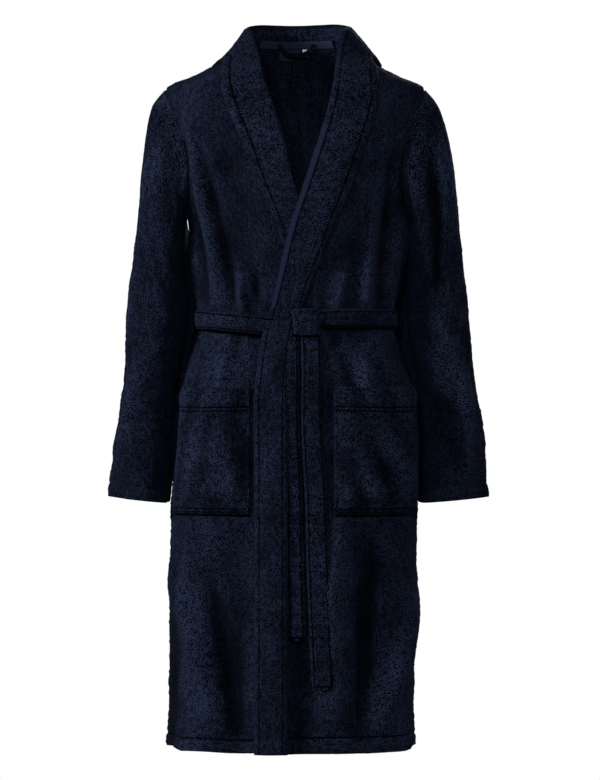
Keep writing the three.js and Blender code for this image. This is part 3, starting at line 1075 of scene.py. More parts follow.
@dataclass(frozen=True)
class Panel:
    """A body panel of fleece between two edges, hem to neck.

    Attributes:
        name: the piece's name.
        edge_from: its first edge's angle at each height.
        edge_to: its second edge's angle.
        layer: how far its inner face lies from the body.
        flat: its width and length laid flat.
        top: how high it reaches, save over the back of the neck.
        neck_rise: how far its top rises there.
        hem_band: the hem's depth.
        wander: how far the hem's edge rises and falls.
        step: the size of its faces.
    """

    name: str
    edge_from: Callable[[Array], Array]
    edge_to: Callable[[Array], Array]
    layer: Callable[[Array, Array], Array]
    flat: tuple[float, float]
    top: float = -0.002
    neck_rise: float = 0.0
    hem_band: float = 0.022
    wander: float = 0.0035
    step: float = 0.0045

    def build(self) -> bpy.types.Object:
        """Builds the panel with its folds, its hem and the armholes that it goes round.

        Returns:
            The object.
        """
        rows = spread(BODY.hem, self.top, self.step, 0.045)
        columns = np.linspace(0, 1, int(self.flat[0] / self.step))

        def place(u: Array, row: Array) -> tuple[Array, Array]:
            """Places the cloth.

            Args:
                u: shares across, 0 to 1.
                row: heights.

            Returns:
                The points, their flat pattern places and how far each lies on a crest.
            """
            a0, a1 = self.edge_from(row), self.edge_to(row)
            angle = a0 + (a1 - a0) * u
            behind_neck = 1 - smooth(35, 75, np.abs(angle - 180))
            z = row + self.neck_rise * behind_neck * np.maximum(
                0, (row - BODY.shoulder) / (self.top - BODY.shoulder))
            foot = np.clip(1 - (row - BODY.hem) / 0.12, 0, 1)
            z = z + self.wander * foot * np.abs(lumps(BODY.round_way(angle), 0 * z, 0.17, 21))
            relief = DRAPE.relief(angle, z) + hem(z, BODY.hem, self.hem_band)
            side_gap = np.abs(np.abs((angle + 180) % 360 - 180) - 90) * 0.003
            relief = relief - 0.0012 * ridge(side_gap, 0.003)
            relief = relief * smooth(1.0, 1.35, self.to_armhole(angle, z))
            point = BODY.on(angle, z, self.layer(angle, z) + LAYERS.cloth + relief)
            # The third value is the crest, which the fleece turns into painted light on fold crests and
            # painted shade in fold valleys.
            return point, np.stack([u * self.flat[0], row - BODY.hem], -1), (relief - DRAPE.rest) / 0.009

        obj = sheet_mesh(self.name, columns, rows, place)
        face_outwards(obj, body_line)
        self.cut_armholes(obj)
        thicken(obj, LAYERS.cloth)
        return obj

    @staticmethod
    def to_armhole(angle: Array, z: Array) -> Array:
        """How far places lie from the armhole's middle.

        Args:
            angle: degrees round the body.
            z: heights.

        Returns:
            The distance of each, 1 on the armhole's edge.
        """
        y = BODY.skin(angle, z)[..., 1]
        return np.hypot(y / ARMHOLE.half_depth, (z - ARMHOLE.middle) / ARMHOLE.half_height)

    @staticmethod
    def cut_armholes(obj: bpy.types.Object) -> None:
        """Takes out the faces inside the armholes and draws their edges round.

        Args:
            obj: the panel.
        """

        def reach(co: Vector) -> float:
            """A point's distance from the armhole's middle, 1 on its edge."""
            return math.hypot(co.y / ARMHOLE.half_depth, (co.z - ARMHOLE.middle) / ARMHOLE.half_height)

        bm = bmesh.new()
        bm.from_mesh(obj.data)
        at_side = [f for f in bm.faces if abs(f.calc_center_median().x) > 0.5 * BODY.shoulder_half_width]
        inside = [f for f in at_side if reach(f.calc_center_median()) < 1]
        rim = {v for f in inside for v in f.verts}
        bmesh.ops.delete(bm, geom=inside, context="FACES")
        for vert in (v for v in rim if v.is_valid and v.is_boundary):
            share = reach(vert.co)
            if 0.8 < share < 1.2:
                vert.co.y /= share
                vert.co.z = ARMHOLE.middle + (vert.co.z - ARMHOLE.middle) / share
        bm.to_mesh(obj.data)
        bm.free()


@dataclass(frozen=True)
class Armhole:
    """The oval hole in the robe's side that a sleeve is set in."""

    top: float = BODY.shoulder - 0.006
    bottom: float = BODY.underarm + 0.007
    half_depth: float = 0.060

    @property
    def middle(self) -> float:
        """The height of its middle."""
        return 0.5 * (self.top + self.bottom)

    @property
    def half_height(self) -> float:
        """Half its height."""
        return 0.5 * (self.top - self.bottom)


ARMHOLE = Armhole()


class BodyPanels:
    """The back, the right front beneath and the left front on top."""

    def __init__(self) -> None:
        """Sizes the three panels."""
        self.back = Panel(
            "back_cloth", lambda z: 90 + 0 * z, lambda z: 270 + 0 * z,
            lambda angle, z: 0 * z, (0.60, 1.16), neck_rise=0.028, hem_band=0.020)
        self.right = Panel(
            "right_front_cloth", lambda z: -90 + 0 * z,
            lambda z: BODY.front_angle(EDGES.under(z), z), lambda angle, z: 0 * z, (0.45, 1.14),
            hem_band=0.021)
        self.left = Panel(
            "left_front_cloth", lambda z: BODY.front_angle(EDGES.upper(z), z),
            lambda z: 90 + 0 * z, lambda angle, z: LAYERS.lift(BODY, angle, z), (0.42, 1.14),
            hem_band=0.026)

    def build(self) -> None:
        back, right, left = (
            dress(panel.build(), Fleece(finish, (Seam(1, panel.hem_band),)))
            for panel, finish in ((self.back, "back_fleece"), (self.right, "right_front_fleece"),
                                  (self.left, "left_front_fleece"))
        )
        fold_corner(left)
        declare(back, "robe", "fleece", self.back.flat, Held.HUNG, "back_panel")
        declare(right, "robe", "fleece", self.right.flat, Held.HUNG, "right_front_panel")
        declare(left, "", "fleece", self.left.flat, Held.HUNG, "left_front_panel", "left_front_corner")


def dress(obj: bpy.types.Object, finish: "Fleece | Woven") -> bpy.types.Object:
    """Gives a piece its finish.

    Args:
        obj: the piece.
        finish: what it is made of.

    Returns:
        The piece.
    """
    obj.data.materials.clear()
    obj.data.materials.append(finish.material())
    return obj


def fold_corner(obj: bpy.types.Object) -> None:
    """Bakes the transform of a piece of the left front into its mesh.

    Args:
        obj: the piece.
    """
    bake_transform(obj)


# ---------------------------------------------------------------- sleeves


@dataclass(frozen=True)
class Ring:
    """A sleeve's section.

    Attributes:
        outer_z: the height of its outer edge.
        inner_z: the height of its inner edge.
        reach: how far out its outer edge lies from the shoulder.
        clear: how far its inner edge lies off the body.
        half_depth: half its depth, front to back.
    """

    outer_z: float
    inner_z: float
    reach: float
    clear: float
    half_depth: float


@dataclass(frozen=True)
class Sleeve:
    """One sleeve, from the armhole to its hem.

    Attributes:
        name: the piece's name.
        side: +1 for the wearer's left, -1 for the right.
        body: the name of the moving body beyond the armhole; not used.
        lean: how far the armhole's plane leans out from upright, in degrees.
        flare: how much further out than its rings its hem lies.
        folds: its folds.
        drop: how far below the neck its hem's outer end is.
        end_width: how far out from the shoulder that end is.
        end_half_depth: half its depth there.
        seat: how far its edge lies off the body at the armhole.
        bend: the length of cloth from the shoulder to the hinge's end, along the armhole's lean.
        flat: its width and length laid flat.
        hem_band: the hem's depth.
        step: the size of its faces.
    """

    name: str
    side: int
    body: str
    lean: float
    flare: float
    folds: tuple[Fold, ...]
    drop: float = 0.711
    end_width: float = 0.104
    end_half_depth: float = 0.054
    seat: float = LAYERS.seat + 0.0002
    bend: float = 0.016
    flat: tuple[float, float] = (0.40, 0.64)
    hem_band: float = 0.022
    step: float = 0.0045

    def rings(self) -> tuple[Ring, ...]:
        """The sleeve's sections.

        Returns:
            The sections from the armhole down.
        """
        u, w = BODY.underarm, BODY.waist
        return (
            Ring(BODY.shoulder, u, 0, 0, ARMHOLE.half_depth + 0.004),
            Ring(-0.072, u - 0.014, 0.024, 0.005, 0.066),
            Ring(-0.112, u - 0.030, 0.034, 0.008, 0.066), Ring(-0.178, u - 0.056, 0.043, 0.011, 0.064),
            Ring(-0.250, -0.350, 0.050, 0.015, 0.061), Ring(-0.330, -0.400, 0.059, 0.017, 0.058),
            Ring(w - 0.009, w - 0.039, 0.070, 0.018, 0.056), Ring(-0.575, -0.590, 0.086, 0.011, 0.055),
            Ring(-self.drop, -self.drop - 0.011, self.end_width - 0.004, 0.009, self.end_half_depth),
        )

    def edges(self) -> tuple[Array, Array]:
        """The outer and the inner edge.

        Returns:
            x away from the body's middle, z and half depth, a row for each ring.
        """
        rings = self.rings()
        last = len(rings) - 1
        out = BODY.shoulder_half_width + self.seat
        high = [(out + r.reach + self.flare * i / last, r.outer_z, r.half_depth) for i, r in enumerate(rings)]
        sides = [abs(float(BODY.side_x(self.side, np.array(0.0), np.array(r.inner_z)))) for r in rings]
        low = [(x + self.seat + r.clear, r.inner_z, r.half_depth) for x, r in zip(sides, rings)]
        return np.array(high), np.array(low)

    def creases(self, flat: Array, up: Array) -> Array:
        """The cloth's small relief and its hem.

        Args:
            flat: places on the flat pattern.
            up: distances from the hem.

        Returns:
            The relief at each place.
        """
        x, y = flat[:, 0], flat[:, 1]
        relief = 0.0035 * lumps(x, y * 0.5, 0.10, 31 + self.side)
        relief = relief + 0.0014 * lumps(x, y, 0.045, 37 + self.side)
        relief = relief + 0.0007 * lumps(x, y, 0.012, 41 + self.side)
        roll = 0.0015 * np.sin(np.pi * np.clip(up / self.hem_band, 0, 1))
        return relief + roll - 0.0010 * ridge(up - self.hem_band, 0.0026)

    @staticmethod
    def tuck(clear: Array, z: Array) -> Array:
        """How far the rear half leans in, so that little light shows between sleeve and body.

        Args:
            clear: how far the inner edge lies off the body.
            z: heights.

        Returns:
            The distance, least by the armhole.
        """
        return np.minimum(2.3 * clear + 0.004, 0.019 + 0.20 * np.maximum(-z - 0.27, 0))

    def build(self) -> bpy.types.Object:
        """Builds the sleeve as a tube of cloth.

        Returns:
            The object.
        """
        high, low = self.edges()
        share = np.cumsum(np.append(0, np.hypot(*np.diff(0.5 * (high + low)[:, :2], axis=0).T)))
        length = share[-1]
        share = share / length
        lines = [[Curve(tuple(zip(share, edge[:, k]))) for k in range(3)] for edge in (high, low)]
        clear = Curve(tuple((s, r.clear) for s, r in zip(share, self.rings())))
        rows = np.sort(1 - spread(0, 1, self.step / length, 0.04 / length))
        columns = np.linspace(0, 1, int(0.34 / self.step) + 1)

        def place(u: Array, v: Array) -> tuple[Array, Array, Array]:
            """Places the cloth.

            Args:
                u: shares round the sleeve, from its inner edge.
                v: shares down it.

            Returns:
                The points, their flat pattern places and how far each lies on a crest.
            """
            turn = math.tau * (u - 0.5)
            (hx, hz, depth), (lx, lz, _) = ([curve(v) for curve in line] for line in lines)
            cx, cz, rx, rz = (hx + lx) / 2, (hz + lz) / 2, (hx - lx) / 2, (hz - lz) / 2
            flat = np.stack([u * self.flat[0], v * length], -1)
            relief = self.creases(flat, (1 - v) * length)
            x, z = cx + rx * np.cos(turn), cz + rz * np.cos(turn)
            for fold in self.folds:
                relief = relief + np.where(np.sin(turn) > -0.2, fold.relief(x, z), 0)
            relief = (relief - 0.002) * smooth(0, 0.05, v)
            relief = relief * (1 + 0.8 * np.minimum(np.cos(turn), 0))
            grow = 1 + relief / np.hypot(rx, rz)
            y = -(depth + relief) * np.sin(turn)
            z = cz + rz * grow * np.cos(turn)
            hollow = (BODY.side_x(1, y, z) - BODY.side_x(1, 0 * y, z)) * (1 - smooth(0, 0.3, v))
            x = cx + rx * grow * np.cos(turn) + hollow
            x = np.where(v <= 0, BODY.side_x(1, y, z) + self.seat, x)
            x = x - self.tuck(clear(v), z) * smooth(0.03, 0.22, v) * smooth(0.005, 0.05, y)
            # The third value is the crest, which the fleece turns into painted light on fold crests and
            # painted shade in fold valleys.
            return np.stack([self.side * x, y, z], -1), flat, (relief + 0.001) / 0.008

        obj = sheet_mesh(self.name, columns, rows, place, closed=True)
        axis_x, axis_z = 0.5 * (high + low)[:, 0], 0.5 * (high + low)[:, 1]
        order = np.argsort(axis_z)

        def middle(points: Array) -> Array:
            """The sleeve's middle line nearest each point."""
            x = self.side * np.interp(points[:, 2], axis_z[order], axis_x[order])
            return np.stack([x, 0 * x, points[:, 2]], -1)

        face_outwards(obj, middle)
        thicken(obj, LAYERS.cloth)
        return obj

    def hinge(self, obj: bpy.types.Object) -> None:
        """Works out the sleeve's hinge at the shoulder, which nothing uses, and bakes the sleeve's transform
        into its mesh.

        Args:
            obj: the sleeve.
        """
        lean = math.radians(self.lean)
        out = BODY.shoulder_half_width + self.seat
        start = (self.side * out, 0, BODY.shoulder)
        end = (self.side * (out + self.bend * math.cos(lean)), 0, BODY.shoulder - self.bend * math.sin(lean))
        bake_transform(obj)


class Sleeves:
    """Both sleeves."""

    def __init__(self) -> None:
        """Sizes the sleeves and lays their folds."""
        right_folds = (
            Fold(((-0.226, -0.080), (-0.216, -0.150), (-0.200, -0.240)), 0.0130, 0.0085),
            Fold(((-0.232, -0.110), (-0.228, -0.220), (-0.220, -0.340)), 0.0120, 0.0085),
            Fold(((-0.246, -0.150), (-0.244, -0.280), (-0.238, -0.400)), -0.0110, 0.009),
            Fold(((-0.212, -0.360), (-0.226, -0.430), (-0.262, -0.470)), 0.0050, 0.010),
            Fold(((-0.262, -0.460), (-0.268, -0.580), (-0.262, -0.690)), 0.0090, 0.013),
        )
        left_folds = (
            Fold(((0.222, -0.085), (0.215, -0.200), (0.208, -0.300)), 0.0125, 0.0085),
            Fold(((0.242, -0.105), (0.250, -0.200), (0.254, -0.300)), 0.0120, 0.0085),
            Fold(((0.228, -0.140), (0.232, -0.270), (0.230, -0.390)), -0.0110, 0.009),
            Fold(((0.214, -0.380), (0.236, -0.440), (0.270, -0.470)), 0.0050, 0.010),
            Fold(((0.272, -0.480), (0.280, -0.590), (0.276, -0.690)), 0.0090, 0.013),
        )
        self.right = Sleeve("right_sleeve_cloth", -1, "right_arm", 11.2, -0.008, right_folds)
        self.left = Sleeve("left_sleeve_cloth", 1, "left_arm", 9.2, 0.008, left_folds)

    def build(self) -> None:
        for sleeve, node in ((self.right, "right_sleeve"), (self.left, "left_sleeve")):
            obj = dress(sleeve.build(), Fleece(node + "_fleece"))
            sleeve.hinge(obj)
            declare(obj, "", "fleece", sleeve.flat, Held.HUNG, node)


# ---------------------------------------------------------------- pockets


@dataclass(frozen=True)
class Pocket:
    """A patch pocket with a turned top, open above and sewn at its sides and bottom.

    Attributes:
        name: the piece's name.
        side: +1 for the wearer's left, -1 for the right.
        inner_x: x of its inner edge.
        layer: how far the panel that it is sewn to lies from the body.
        height: from its bottom to its top edge.
        top: the height of its top edge.
        fullness: how far its middle stands out.
        end_angle: the angle of its outer edge.
        top_band: the turned top's depth.
        flat: its width and length laid flat.
        step: the size of its faces.
    """

    name: str
    side: int
    inner_x: float
    layer: Callable[[Array, Array], Array]
    height: float = 0.204
    top: float = -0.534
    fullness: float = 0.0125
    end_angle: float = 76
    top_band: float = 0.031
    flat: tuple[float, float] = (0.17, 0.21)
    step: float = 0.0034

    def seams(self) -> tuple[Seam, ...]:
        """Two rows of stitches below the turned top and two by the bottom."""
        line = self.height - self.top_band
        return Seam(1, line), Seam(1, line - 0.006), Seam(1, 0.009), Seam(1, 0.004)

    def creases(self, x: Array, y: Array) -> Array:
        """The slanting creases of a pocket that is used.

        Args:
            x: places across the flat pattern.
            y: places along it.

        Returns:
            The relief at each place.
        """
        slanting = 0.0022 * lumps(x * 1.2 + 0.4 * y, y * 0.5 - 0.3 * x, 0.06, 51 + self.side)
        return slanting + 0.0007 * lumps(x, y, 0.012, 53 + self.side)

    def build(self) -> bpy.types.Object:
        """Builds the pocket.

        Returns:
            The object.
        """
        rows = spread(self.top - self.height, self.top, self.step)
        columns = np.linspace(0, 1, int(self.flat[0] / self.step))

        def place(u: Array, row: Array) -> tuple[Array, Array, Array]:
            """Places the cloth.

            Args:
                u: shares across, from the inner edge.
                row: heights.

            Returns:
                The points, their flat pattern places and how far each lies on a crest.
            """
            a0 = BODY.front_angle(self.inner_x + 0 * row, row)
            angle = a0 + (self.side * self.end_angle - a0) * u
            share = (row - self.top + self.height) / self.height
            z = row - 0.004 * np.sin(np.pi * u) * share**3
            rise = smooth(0, 0.22, u) * smooth(0, 0.22, 1 - u) * smooth(0, 0.16, share)
            x, y = u * self.flat[0], share * self.height
            creases = self.creases(x, y)
            sewn = np.minimum(np.minimum(u, 1 - u) * self.flat[0], share * self.height)
            edge = 0.0016 * smooth(0, 0.003, sewn) - 0.0012 * ridge(sewn - 0.0075, 0.0018)
            over = y - self.height + self.top_band
            roll = 0.0016 * np.sin(np.pi * np.clip(over / self.top_band, 0, 1)) - 0.0012 * ridge(over, 0.002)
            offset = self.layer(angle, z) + LAYERS.seat + LAYERS.cloth
            offset = offset + 0.55 * DRAPE.relief(angle, z) + 0.0030
            offset = offset + rise * (self.fullness + creases) + edge + roll
            # The third value is the crest of the creases, which the fleece turns into painted light on their
            # crests and painted shade in their hollows.
            return BODY.on(angle, z, offset), np.stack([x, y], -1), creases / 0.003

        obj = sheet_mesh(self.name, columns, rows, place)
        face_outwards(obj, body_line)
        thicken(obj, LAYERS.cloth * 1.3)
        return obj


class Pockets:
    """Both patch pockets."""

    def __init__(self) -> None:
        """Sizes the pockets."""
        self.right = Pocket("right_pocket_cloth", -1, -0.070, lambda angle, z: 0 * z)
        self.left = Pocket("left_pocket_cloth", 1, 0.060, lambda angle, z: LAYERS.lift(BODY, angle, z))

    def build(self) -> None:
        for pocket, node in ((self.right, "right_pocket"), (self.left, "left_pocket")):
            obj = dress(pocket.build(), Fleece(node + "_fleece", pocket.seams()))
            declare(obj, "robe", "fleece", pocket.flat, Held.STRETCHED, node)


# ---------------------------------------------------------------- collar and bands


@dataclass(frozen=True)
class Trim:
    """The shawl collar and the bands that run on from it to the hem.

    Attributes:
        left_width: the width of the half on top.
        left_flat_width: the same with its rounded edges laid flat.
        left_thickness: how thick it is.
        right_width: the width of the half beneath.
        right_thickness: how thick it is.
        stitched: how far from the outer edge its row of stitches runs.
        tape_width: the width of the smooth tape on the top half's inner edge.
        left_band: the heights that the top half's band is drawn through, below the collar.
        right_band: the same for the half beneath.
    """

    left_width: float = 0.072
    left_flat_width: float = 0.074
    left_thickness: float = 0.0085
    right_width: float = 0.060
    right_thickness: float = 0.0046
    stitched: float = 0.012
    tape_width: float = 0.0105
    left_band: tuple[float, ...] = (-0.553, -0.640, -0.747, -0.900, -1.010, BODY.hem)
    right_band: tuple[float, ...] = (-0.500, -0.640, -0.800, -0.960, BODY.hem)

    def build(self) -> None:
        """Builds both halves of the collar, each with its band."""
        self.left()
        self.right()

    def course(self, side: int) -> tuple[list, list, list[float], float]:
        """One half's lines, collar and band together.

        Args:
            side: +1 for the half on top, -1 for the one beneath.

        Returns:
            The fold line's points, the outer line's points, the share of the length at which each
            pair lies, and the length.
        """
        pairs = COLLAR.lines(side)
        upper = side > 0
        edge, width = (EDGES.upper, EDGES.band_width) if upper else (EDGES.under, -EDGES.right_band_width)
        for z in self.left_band if upper else self.right_band:
            x = float(edge(z))
            pairs.append(((float(BODY.front_angle(x, z)), z), (float(BODY.front_angle(x + width, z)), z)))
        inner, outer = (BODY.skin(*np.array([p[k] for p in pairs]).T) for k in (0, 1))
        middles = 0.5 * (inner + outer)
        gone = np.append(0, np.cumsum(np.linalg.norm(np.diff(middles, axis=0), axis=1)))
        return [p[0] for p in pairs], [p[1] for p in pairs], list(gone / gone[-1]), float(gone[-1])

    def left(self) -> None:
        """The half on top, whose band runs to the hem."""
        first, second, shares, length = self.course(1)

        def lift(angle: Array, z: Array, share: Array) -> Array:
            """How far the band lies from the body.

            Args:
                angle: degrees round the body.
                z: heights.
                share: shares across the band.

            Returns:
                The distance: over both fronts, following their folds, and prouder on its outer
                side below the belt.
            """
            folds = 0.8 * DRAPE.relief(angle, z) * smooth(-0.10, -0.30, z)
            proud = 0.0035 * share * smooth(-0.47, -0.60, z)
            return LAYERS.under_band + 0.0012 + LAYERS.lift(BODY, angle, z) + folds + proud

        strap = Strap("left_collar_and_band", follow(first, shares), follow(second, shares), lift,
                      self.left_thickness, length, self.left_width, puff=0.0030, creases=0.0011)
        tape = (0.0, self.tape_width, shares[7] * length, shares[11] * length)
        seams = (Seam(0, self.left_width - self.stitched), Seam(0, self.tape_width + 0.001))
        obj = dress(strap.build(), Fleece("left_collar_fleece", seams, tape))
        fold_corner(obj)
        declare(obj, "", "collar_fleece", (self.left_flat_width, length), Held.HUNG,
                "left_shawl_collar", "left_front_band", "left_band_corner")

    def right(self) -> None:
        """The half beneath."""
        first, second, shares, length = self.course(-1)
        strap = Strap("right_collar_and_band", follow(first, shares), follow(second, shares),
                      fixed(LAYERS.under_band + 0.0006), self.right_thickness, length, self.right_width)
        seams = (Seam(0, self.right_width - self.stitched),)
        obj = dress(strap.build(), Fleece("right_collar_fleece", seams))
        declare(obj, "robe", "collar_fleece", (self.right_width, length), Held.HUNG,
                "right_shawl_collar", "right_front_band")


# ---------------------------------------------------------------- belt


@dataclass(frozen=True)
class Tail:
    """One hanging end of the belt.

    Attributes:
        body: the moving body that it rides, after which its piece and its node are named.
        end: the height of its tip.
        left: x of its left edge, as seen, at each height.
        width: how wide it is.
    """

    body: str
    end: float
    left: Curve
    width: float


@dataclass(frozen=True)
class Belt:
    """The tied belt: its run round the waist, its knot and its two tails, and the loops it runs in.

    Attributes:
        width: how wide the belt is.
        thickness: how thick its run is.
        run_length: the length of its run.
        rise: how far above the waist its run lies on the back.
        dip: how far the run comes down to the knot on the wearer's right.
        stitched: how far from each edge a row of stitches runs.
        knot: x of the knot's two sides.
        knot_height: from its top to its bottom.
        knot_rise: how far above the waist its middle is.
        tails: the two hanging ends.
        loop_size: a belt loop's width and its length laid flat.
        loop_half_height: half a loop's height on the robe.
        loop_half_turn: half its width, in degrees round the body.
    """

    width: float = 0.032
    thickness: float = 0.005
    run_length: float = 0.88
    rise: float = 0.009
    dip: float = 0.014
    stitched: float = 0.0045
    knot: tuple[float, float] = (-0.012, 0.034)
    knot_height: float = 0.050
    knot_rise: float = 0.002
    tails: tuple[Tail, ...] = (
        Tail("long_tail", -1.018, Curve(((-0.400, 0.0085), (-0.700, 0.014), (-1.018, 0.027))), 0.0325),
        Tail("short_tail", -0.940, Curve(((-0.400, -0.0195), (-0.700, -0.017), (-0.940, -0.010))), 0.0265),
    )
    loop_size: tuple[float, float] = (0.010, 0.080)
    loop_half_height: float = 0.034
    loop_half_turn: float = 1.9

    def centre(self, angle: Array) -> Array:
        """The height of the belt's middle at an angle."""
        turn = (angle + 180) % 360 - 180
        return BODY.waist + self.rise - self.dip * smooth(-80, -12, turn) * (turn < 0)

    def build(self) -> None:
        """Builds every piece of the belt."""
        self.run()
        self.tie()
        for tail in self.tails:
            self.tail(tail)
        for side, node in ((-1, "right_belt_loop"), (1, "left_belt_loop")):
            self.loop(side, node)

    def finish(self, name: str, width: float, *ends: Seam) -> Fleece:
        """The belt's fleece.

        Args:
            name: the material's name.
            width: how wide the piece is.
            ends: rows of stitches across its ends.

        Returns:
            The finish, stitched along both edges.
        """
        return Fleece(name, (Seam(0, self.stitched), Seam(0, width - self.stitched), *ends))

    def run(self) -> None:
        """The run round the waist, from one side of the knot to the other."""
        start = float(BODY.front_angle(self.knot[1], BODY.waist)) - 3
        stop = 363 + float(BODY.front_angle(self.knot[0], BODY.waist))

        def edge(sign: int) -> Callable[[Array], tuple[Array, Array]]:
            """One long edge of the run."""
            def line(r: Array) -> tuple[Array, Array]:
                """The edge, pinched by the knot.

                Args:
                    r: shares of its length.

                Returns:
                    Its angles and heights.
                """
                angle = start + (stop - start) * r
                pinch = 1 - 0.24 * np.maximum(ridge(r, 0.03), ridge(1 - r, 0.03))
                return angle, self.centre(angle) + sign * 0.54 * self.width * pinch
            return line

        strap = Strap(
            "belt_waist_cloth", edge(1), edge(-1), lambda angle, z, share: LAYERS.belt(angle) + 0 * z,
            self.thickness, self.run_length, self.width, puff=0.0016, creases=0.0012, step=0.004)
        declare(dress(strap.build(), self.finish("belt_waist_fleece", self.width)), "robe", "belt_fleece",
                (self.width, self.run_length), Held.STRETCHED, "belt_waist_run")

    def tie(self) -> None:
        """The knot: the belt's end brought up behind its run, over it and down."""
        middle_z = BODY.waist + self.knot_rise
        low, high = middle_z - self.knot_height / 2, middle_z + self.knot_height / 2

        def edge(top_x: float, low_x: float) -> Callable[[Array], tuple[Array, Array]]:
            """One side of the knot, from its top down."""
            def line(r: Array) -> tuple[Array, Array]:
                """The side, drawn in where the belt pulls on it.

                Args:
                    r: shares of its length.

                Returns:
                    Its angles and heights.
                """
                z = high + (low - high) * r
                middle = 0.5 * (self.knot[0] + self.knot[1]) + 0.006
                x = top_x + (low_x - top_x) * r
                x = middle + (x - middle) * (1 - 0.07 * np.sin(np.pi * r))
                return BODY.front_angle(x, z), z
            return line

        def lift(angle: Array, z: Array, share: Array) -> Array:
            """How far the knot lies from the body: over the bands, with the wrap's slanting folds.

            Args:
                angle: degrees round the body.
                z: heights.
                share: shares across the knot.

            Returns:
                The distance at each place.
            """
            down = (high - z) / (high - low)
            wraps = np.sin(math.tau * (1.15 * down - 0.55 * share)) * np.sin(np.pi * np.clip(share, 0, 1))
            return LAYERS.over_bands + 0.0014 + 0.0013 * wraps

        strap = Strap(
            "belt_knot_cloth", edge(self.knot[0] + 0.005, self.knot[0] + 0.010),
            edge(self.knot[1] + 0.004, self.knot[1] + 0.007), lift, 0.0165, self.knot_height, 0.040,
            puff=0.0012, creases=0.0006, taper=(0.008, 0.006), step=0.0016)
        obj = dress(strap.build(), Fleece("belt_knot_fleece"))
        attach(obj, "robe")
        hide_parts("belt_knot")
        log.info("%s: %d faces", obj.name, len(obj.data.polygons))

    def tail(self, tail: Tail) -> None:
        """Builds one hanging end of the belt, with a rounded tip.

        Args:
            tail: which end.
        """
        top = BODY.waist + self.knot_rise - self.knot_height / 2 - 0.0004
        length = top - tail.end

        def edge(x_off: float) -> Callable[[Array], tuple[Array, Array]]:
            """One long edge of the tail."""
            def line(r: Array) -> tuple[Array, Array]:
                """The edge, swaying a little.

                Args:
                    r: shares of its length.

                Returns:
                    Its angles and heights.
                """
                z = top - length * r
                sway = 0.0018 * lumps(z, 0 * z, 0.22, 3) * smooth(0, 0.2, r)
                wider = 1 + 0.09 * smooth(0, 0.5, r)
                x = tail.left(z) + sway + x_off * tail.width * wider
                return BODY.front_angle(x, z), z
            return line

        strap = Strap(
            tail.body + "_cloth", edge(0), edge(1), fixed(LAYERS.over_bands + 0.0013), 0.0046, length,
            tail.width, puff=0.0012, creases=0.0012, taper=(0.0, 0.016), step=0.004)
        finish = self.finish(tail.body + "_cloth_fleece", tail.width, Seam(1, length - 0.006))
        declare(dress(strap.build(), finish), tail.body, "belt_fleece", (tail.width, length), Held.HUNG,
                "belt_" + tail.body)

    def loop(self, side: int, node: str) -> None:
        """Builds a belt loop at a side seam: a narrow strip standing over the belt.

        Args:
            side: +1 for the wearer's left, -1 for the right.
            node: the frame's node that it replaces.
        """
        middle = BODY.waist + self.rise
        low, high = middle - self.loop_half_height, middle + self.loop_half_height
        width, length = self.loop_size

        def edge(sign: int) -> Callable[[Array], tuple[Array, Array]]:
            """One long edge of the loop."""
            def line(r: Array) -> tuple[Array, Array]:
                """The edge's angle and height."""
                return side * 90 + sign * self.loop_half_turn + 0 * r, low + (high - low) * r
            return line

        def lift(angle: Array, z: Array, share: Array) -> Array:
            """Down on the cloth at both ends, over the belt between them."""
            out = smooth(low + 0.002, low + 0.016, z) * smooth(high - 0.002, high - 0.016, z)
            return LAYERS.cloth + 0.0012 + 0.0082 * out

        strap = Strap(node + "_cloth", edge(1), edge(-1), lift, 0.0022, length, width, step=0.002)
        declare(dress(strap.build(), Fleece(node + "_fleece")), "robe", "belt_fleece", self.loop_size,
                Held.STRETCHED, node)


# ---------------------------------------------------------------- neck: tape, loop, labels


@dataclass(frozen=True)
class Woven:
    """A plain woven cloth, such as tape or a label.

    Attributes:
        name: the material's name.
        colour: its threads' colour.
        thread: from one thread to the next.
        slant: how far a herringbone's threads slant, 0 for a plain weave.
        zigzag: the height of one leg of the herringbone.
        shade: how light the gaps between the threads are, as a share of the colour.
        depth: how deep they are.
    """

    name: str
    colour: tuple[float, float, float]
    thread: float = 0.0009
    slant: float = 0.0
    zigzag: float = 0.006
    shade: float = 0.55
    depth: float = 0.0003

    def material(self) -> bpy.types.Material:
        """Builds the weave on the piece's own flat pattern.

        Returns:
            The material.
        """
        s = Shader(self.name)
        flat = s.node("ShaderNodeUVMap", {"uv_map": "flat"}).outputs[0]
        split = s.node("ShaderNodeSeparateXYZ", None, {0: flat})
        x, y = Value(s, split.outputs[0]), Value(s, split.outputs[1])
        leaning = s.math("ABSOLUTE", s.math("SINE", y * (math.pi / self.zigzag))) * self.slant
        turns = math.tau / self.thread
        threads = s.math("SINE", (x + leaning) * turns) * 0.25 + s.math("SINE", y * turns) * 0.25 + 0.5
        dark = tuple(c * self.shade for c in self.colour)
        colour = s.mix(threads, (*dark, 1), (*self.colour, 1))
        bump = s.node("ShaderNodeBump", None, {"Height": threads, "Strength": 0.6, "Distance": self.depth})
        s.finish(colour, bump.outputs[0], 0.8, 0.05, (1, 1, 1))
        return s.material


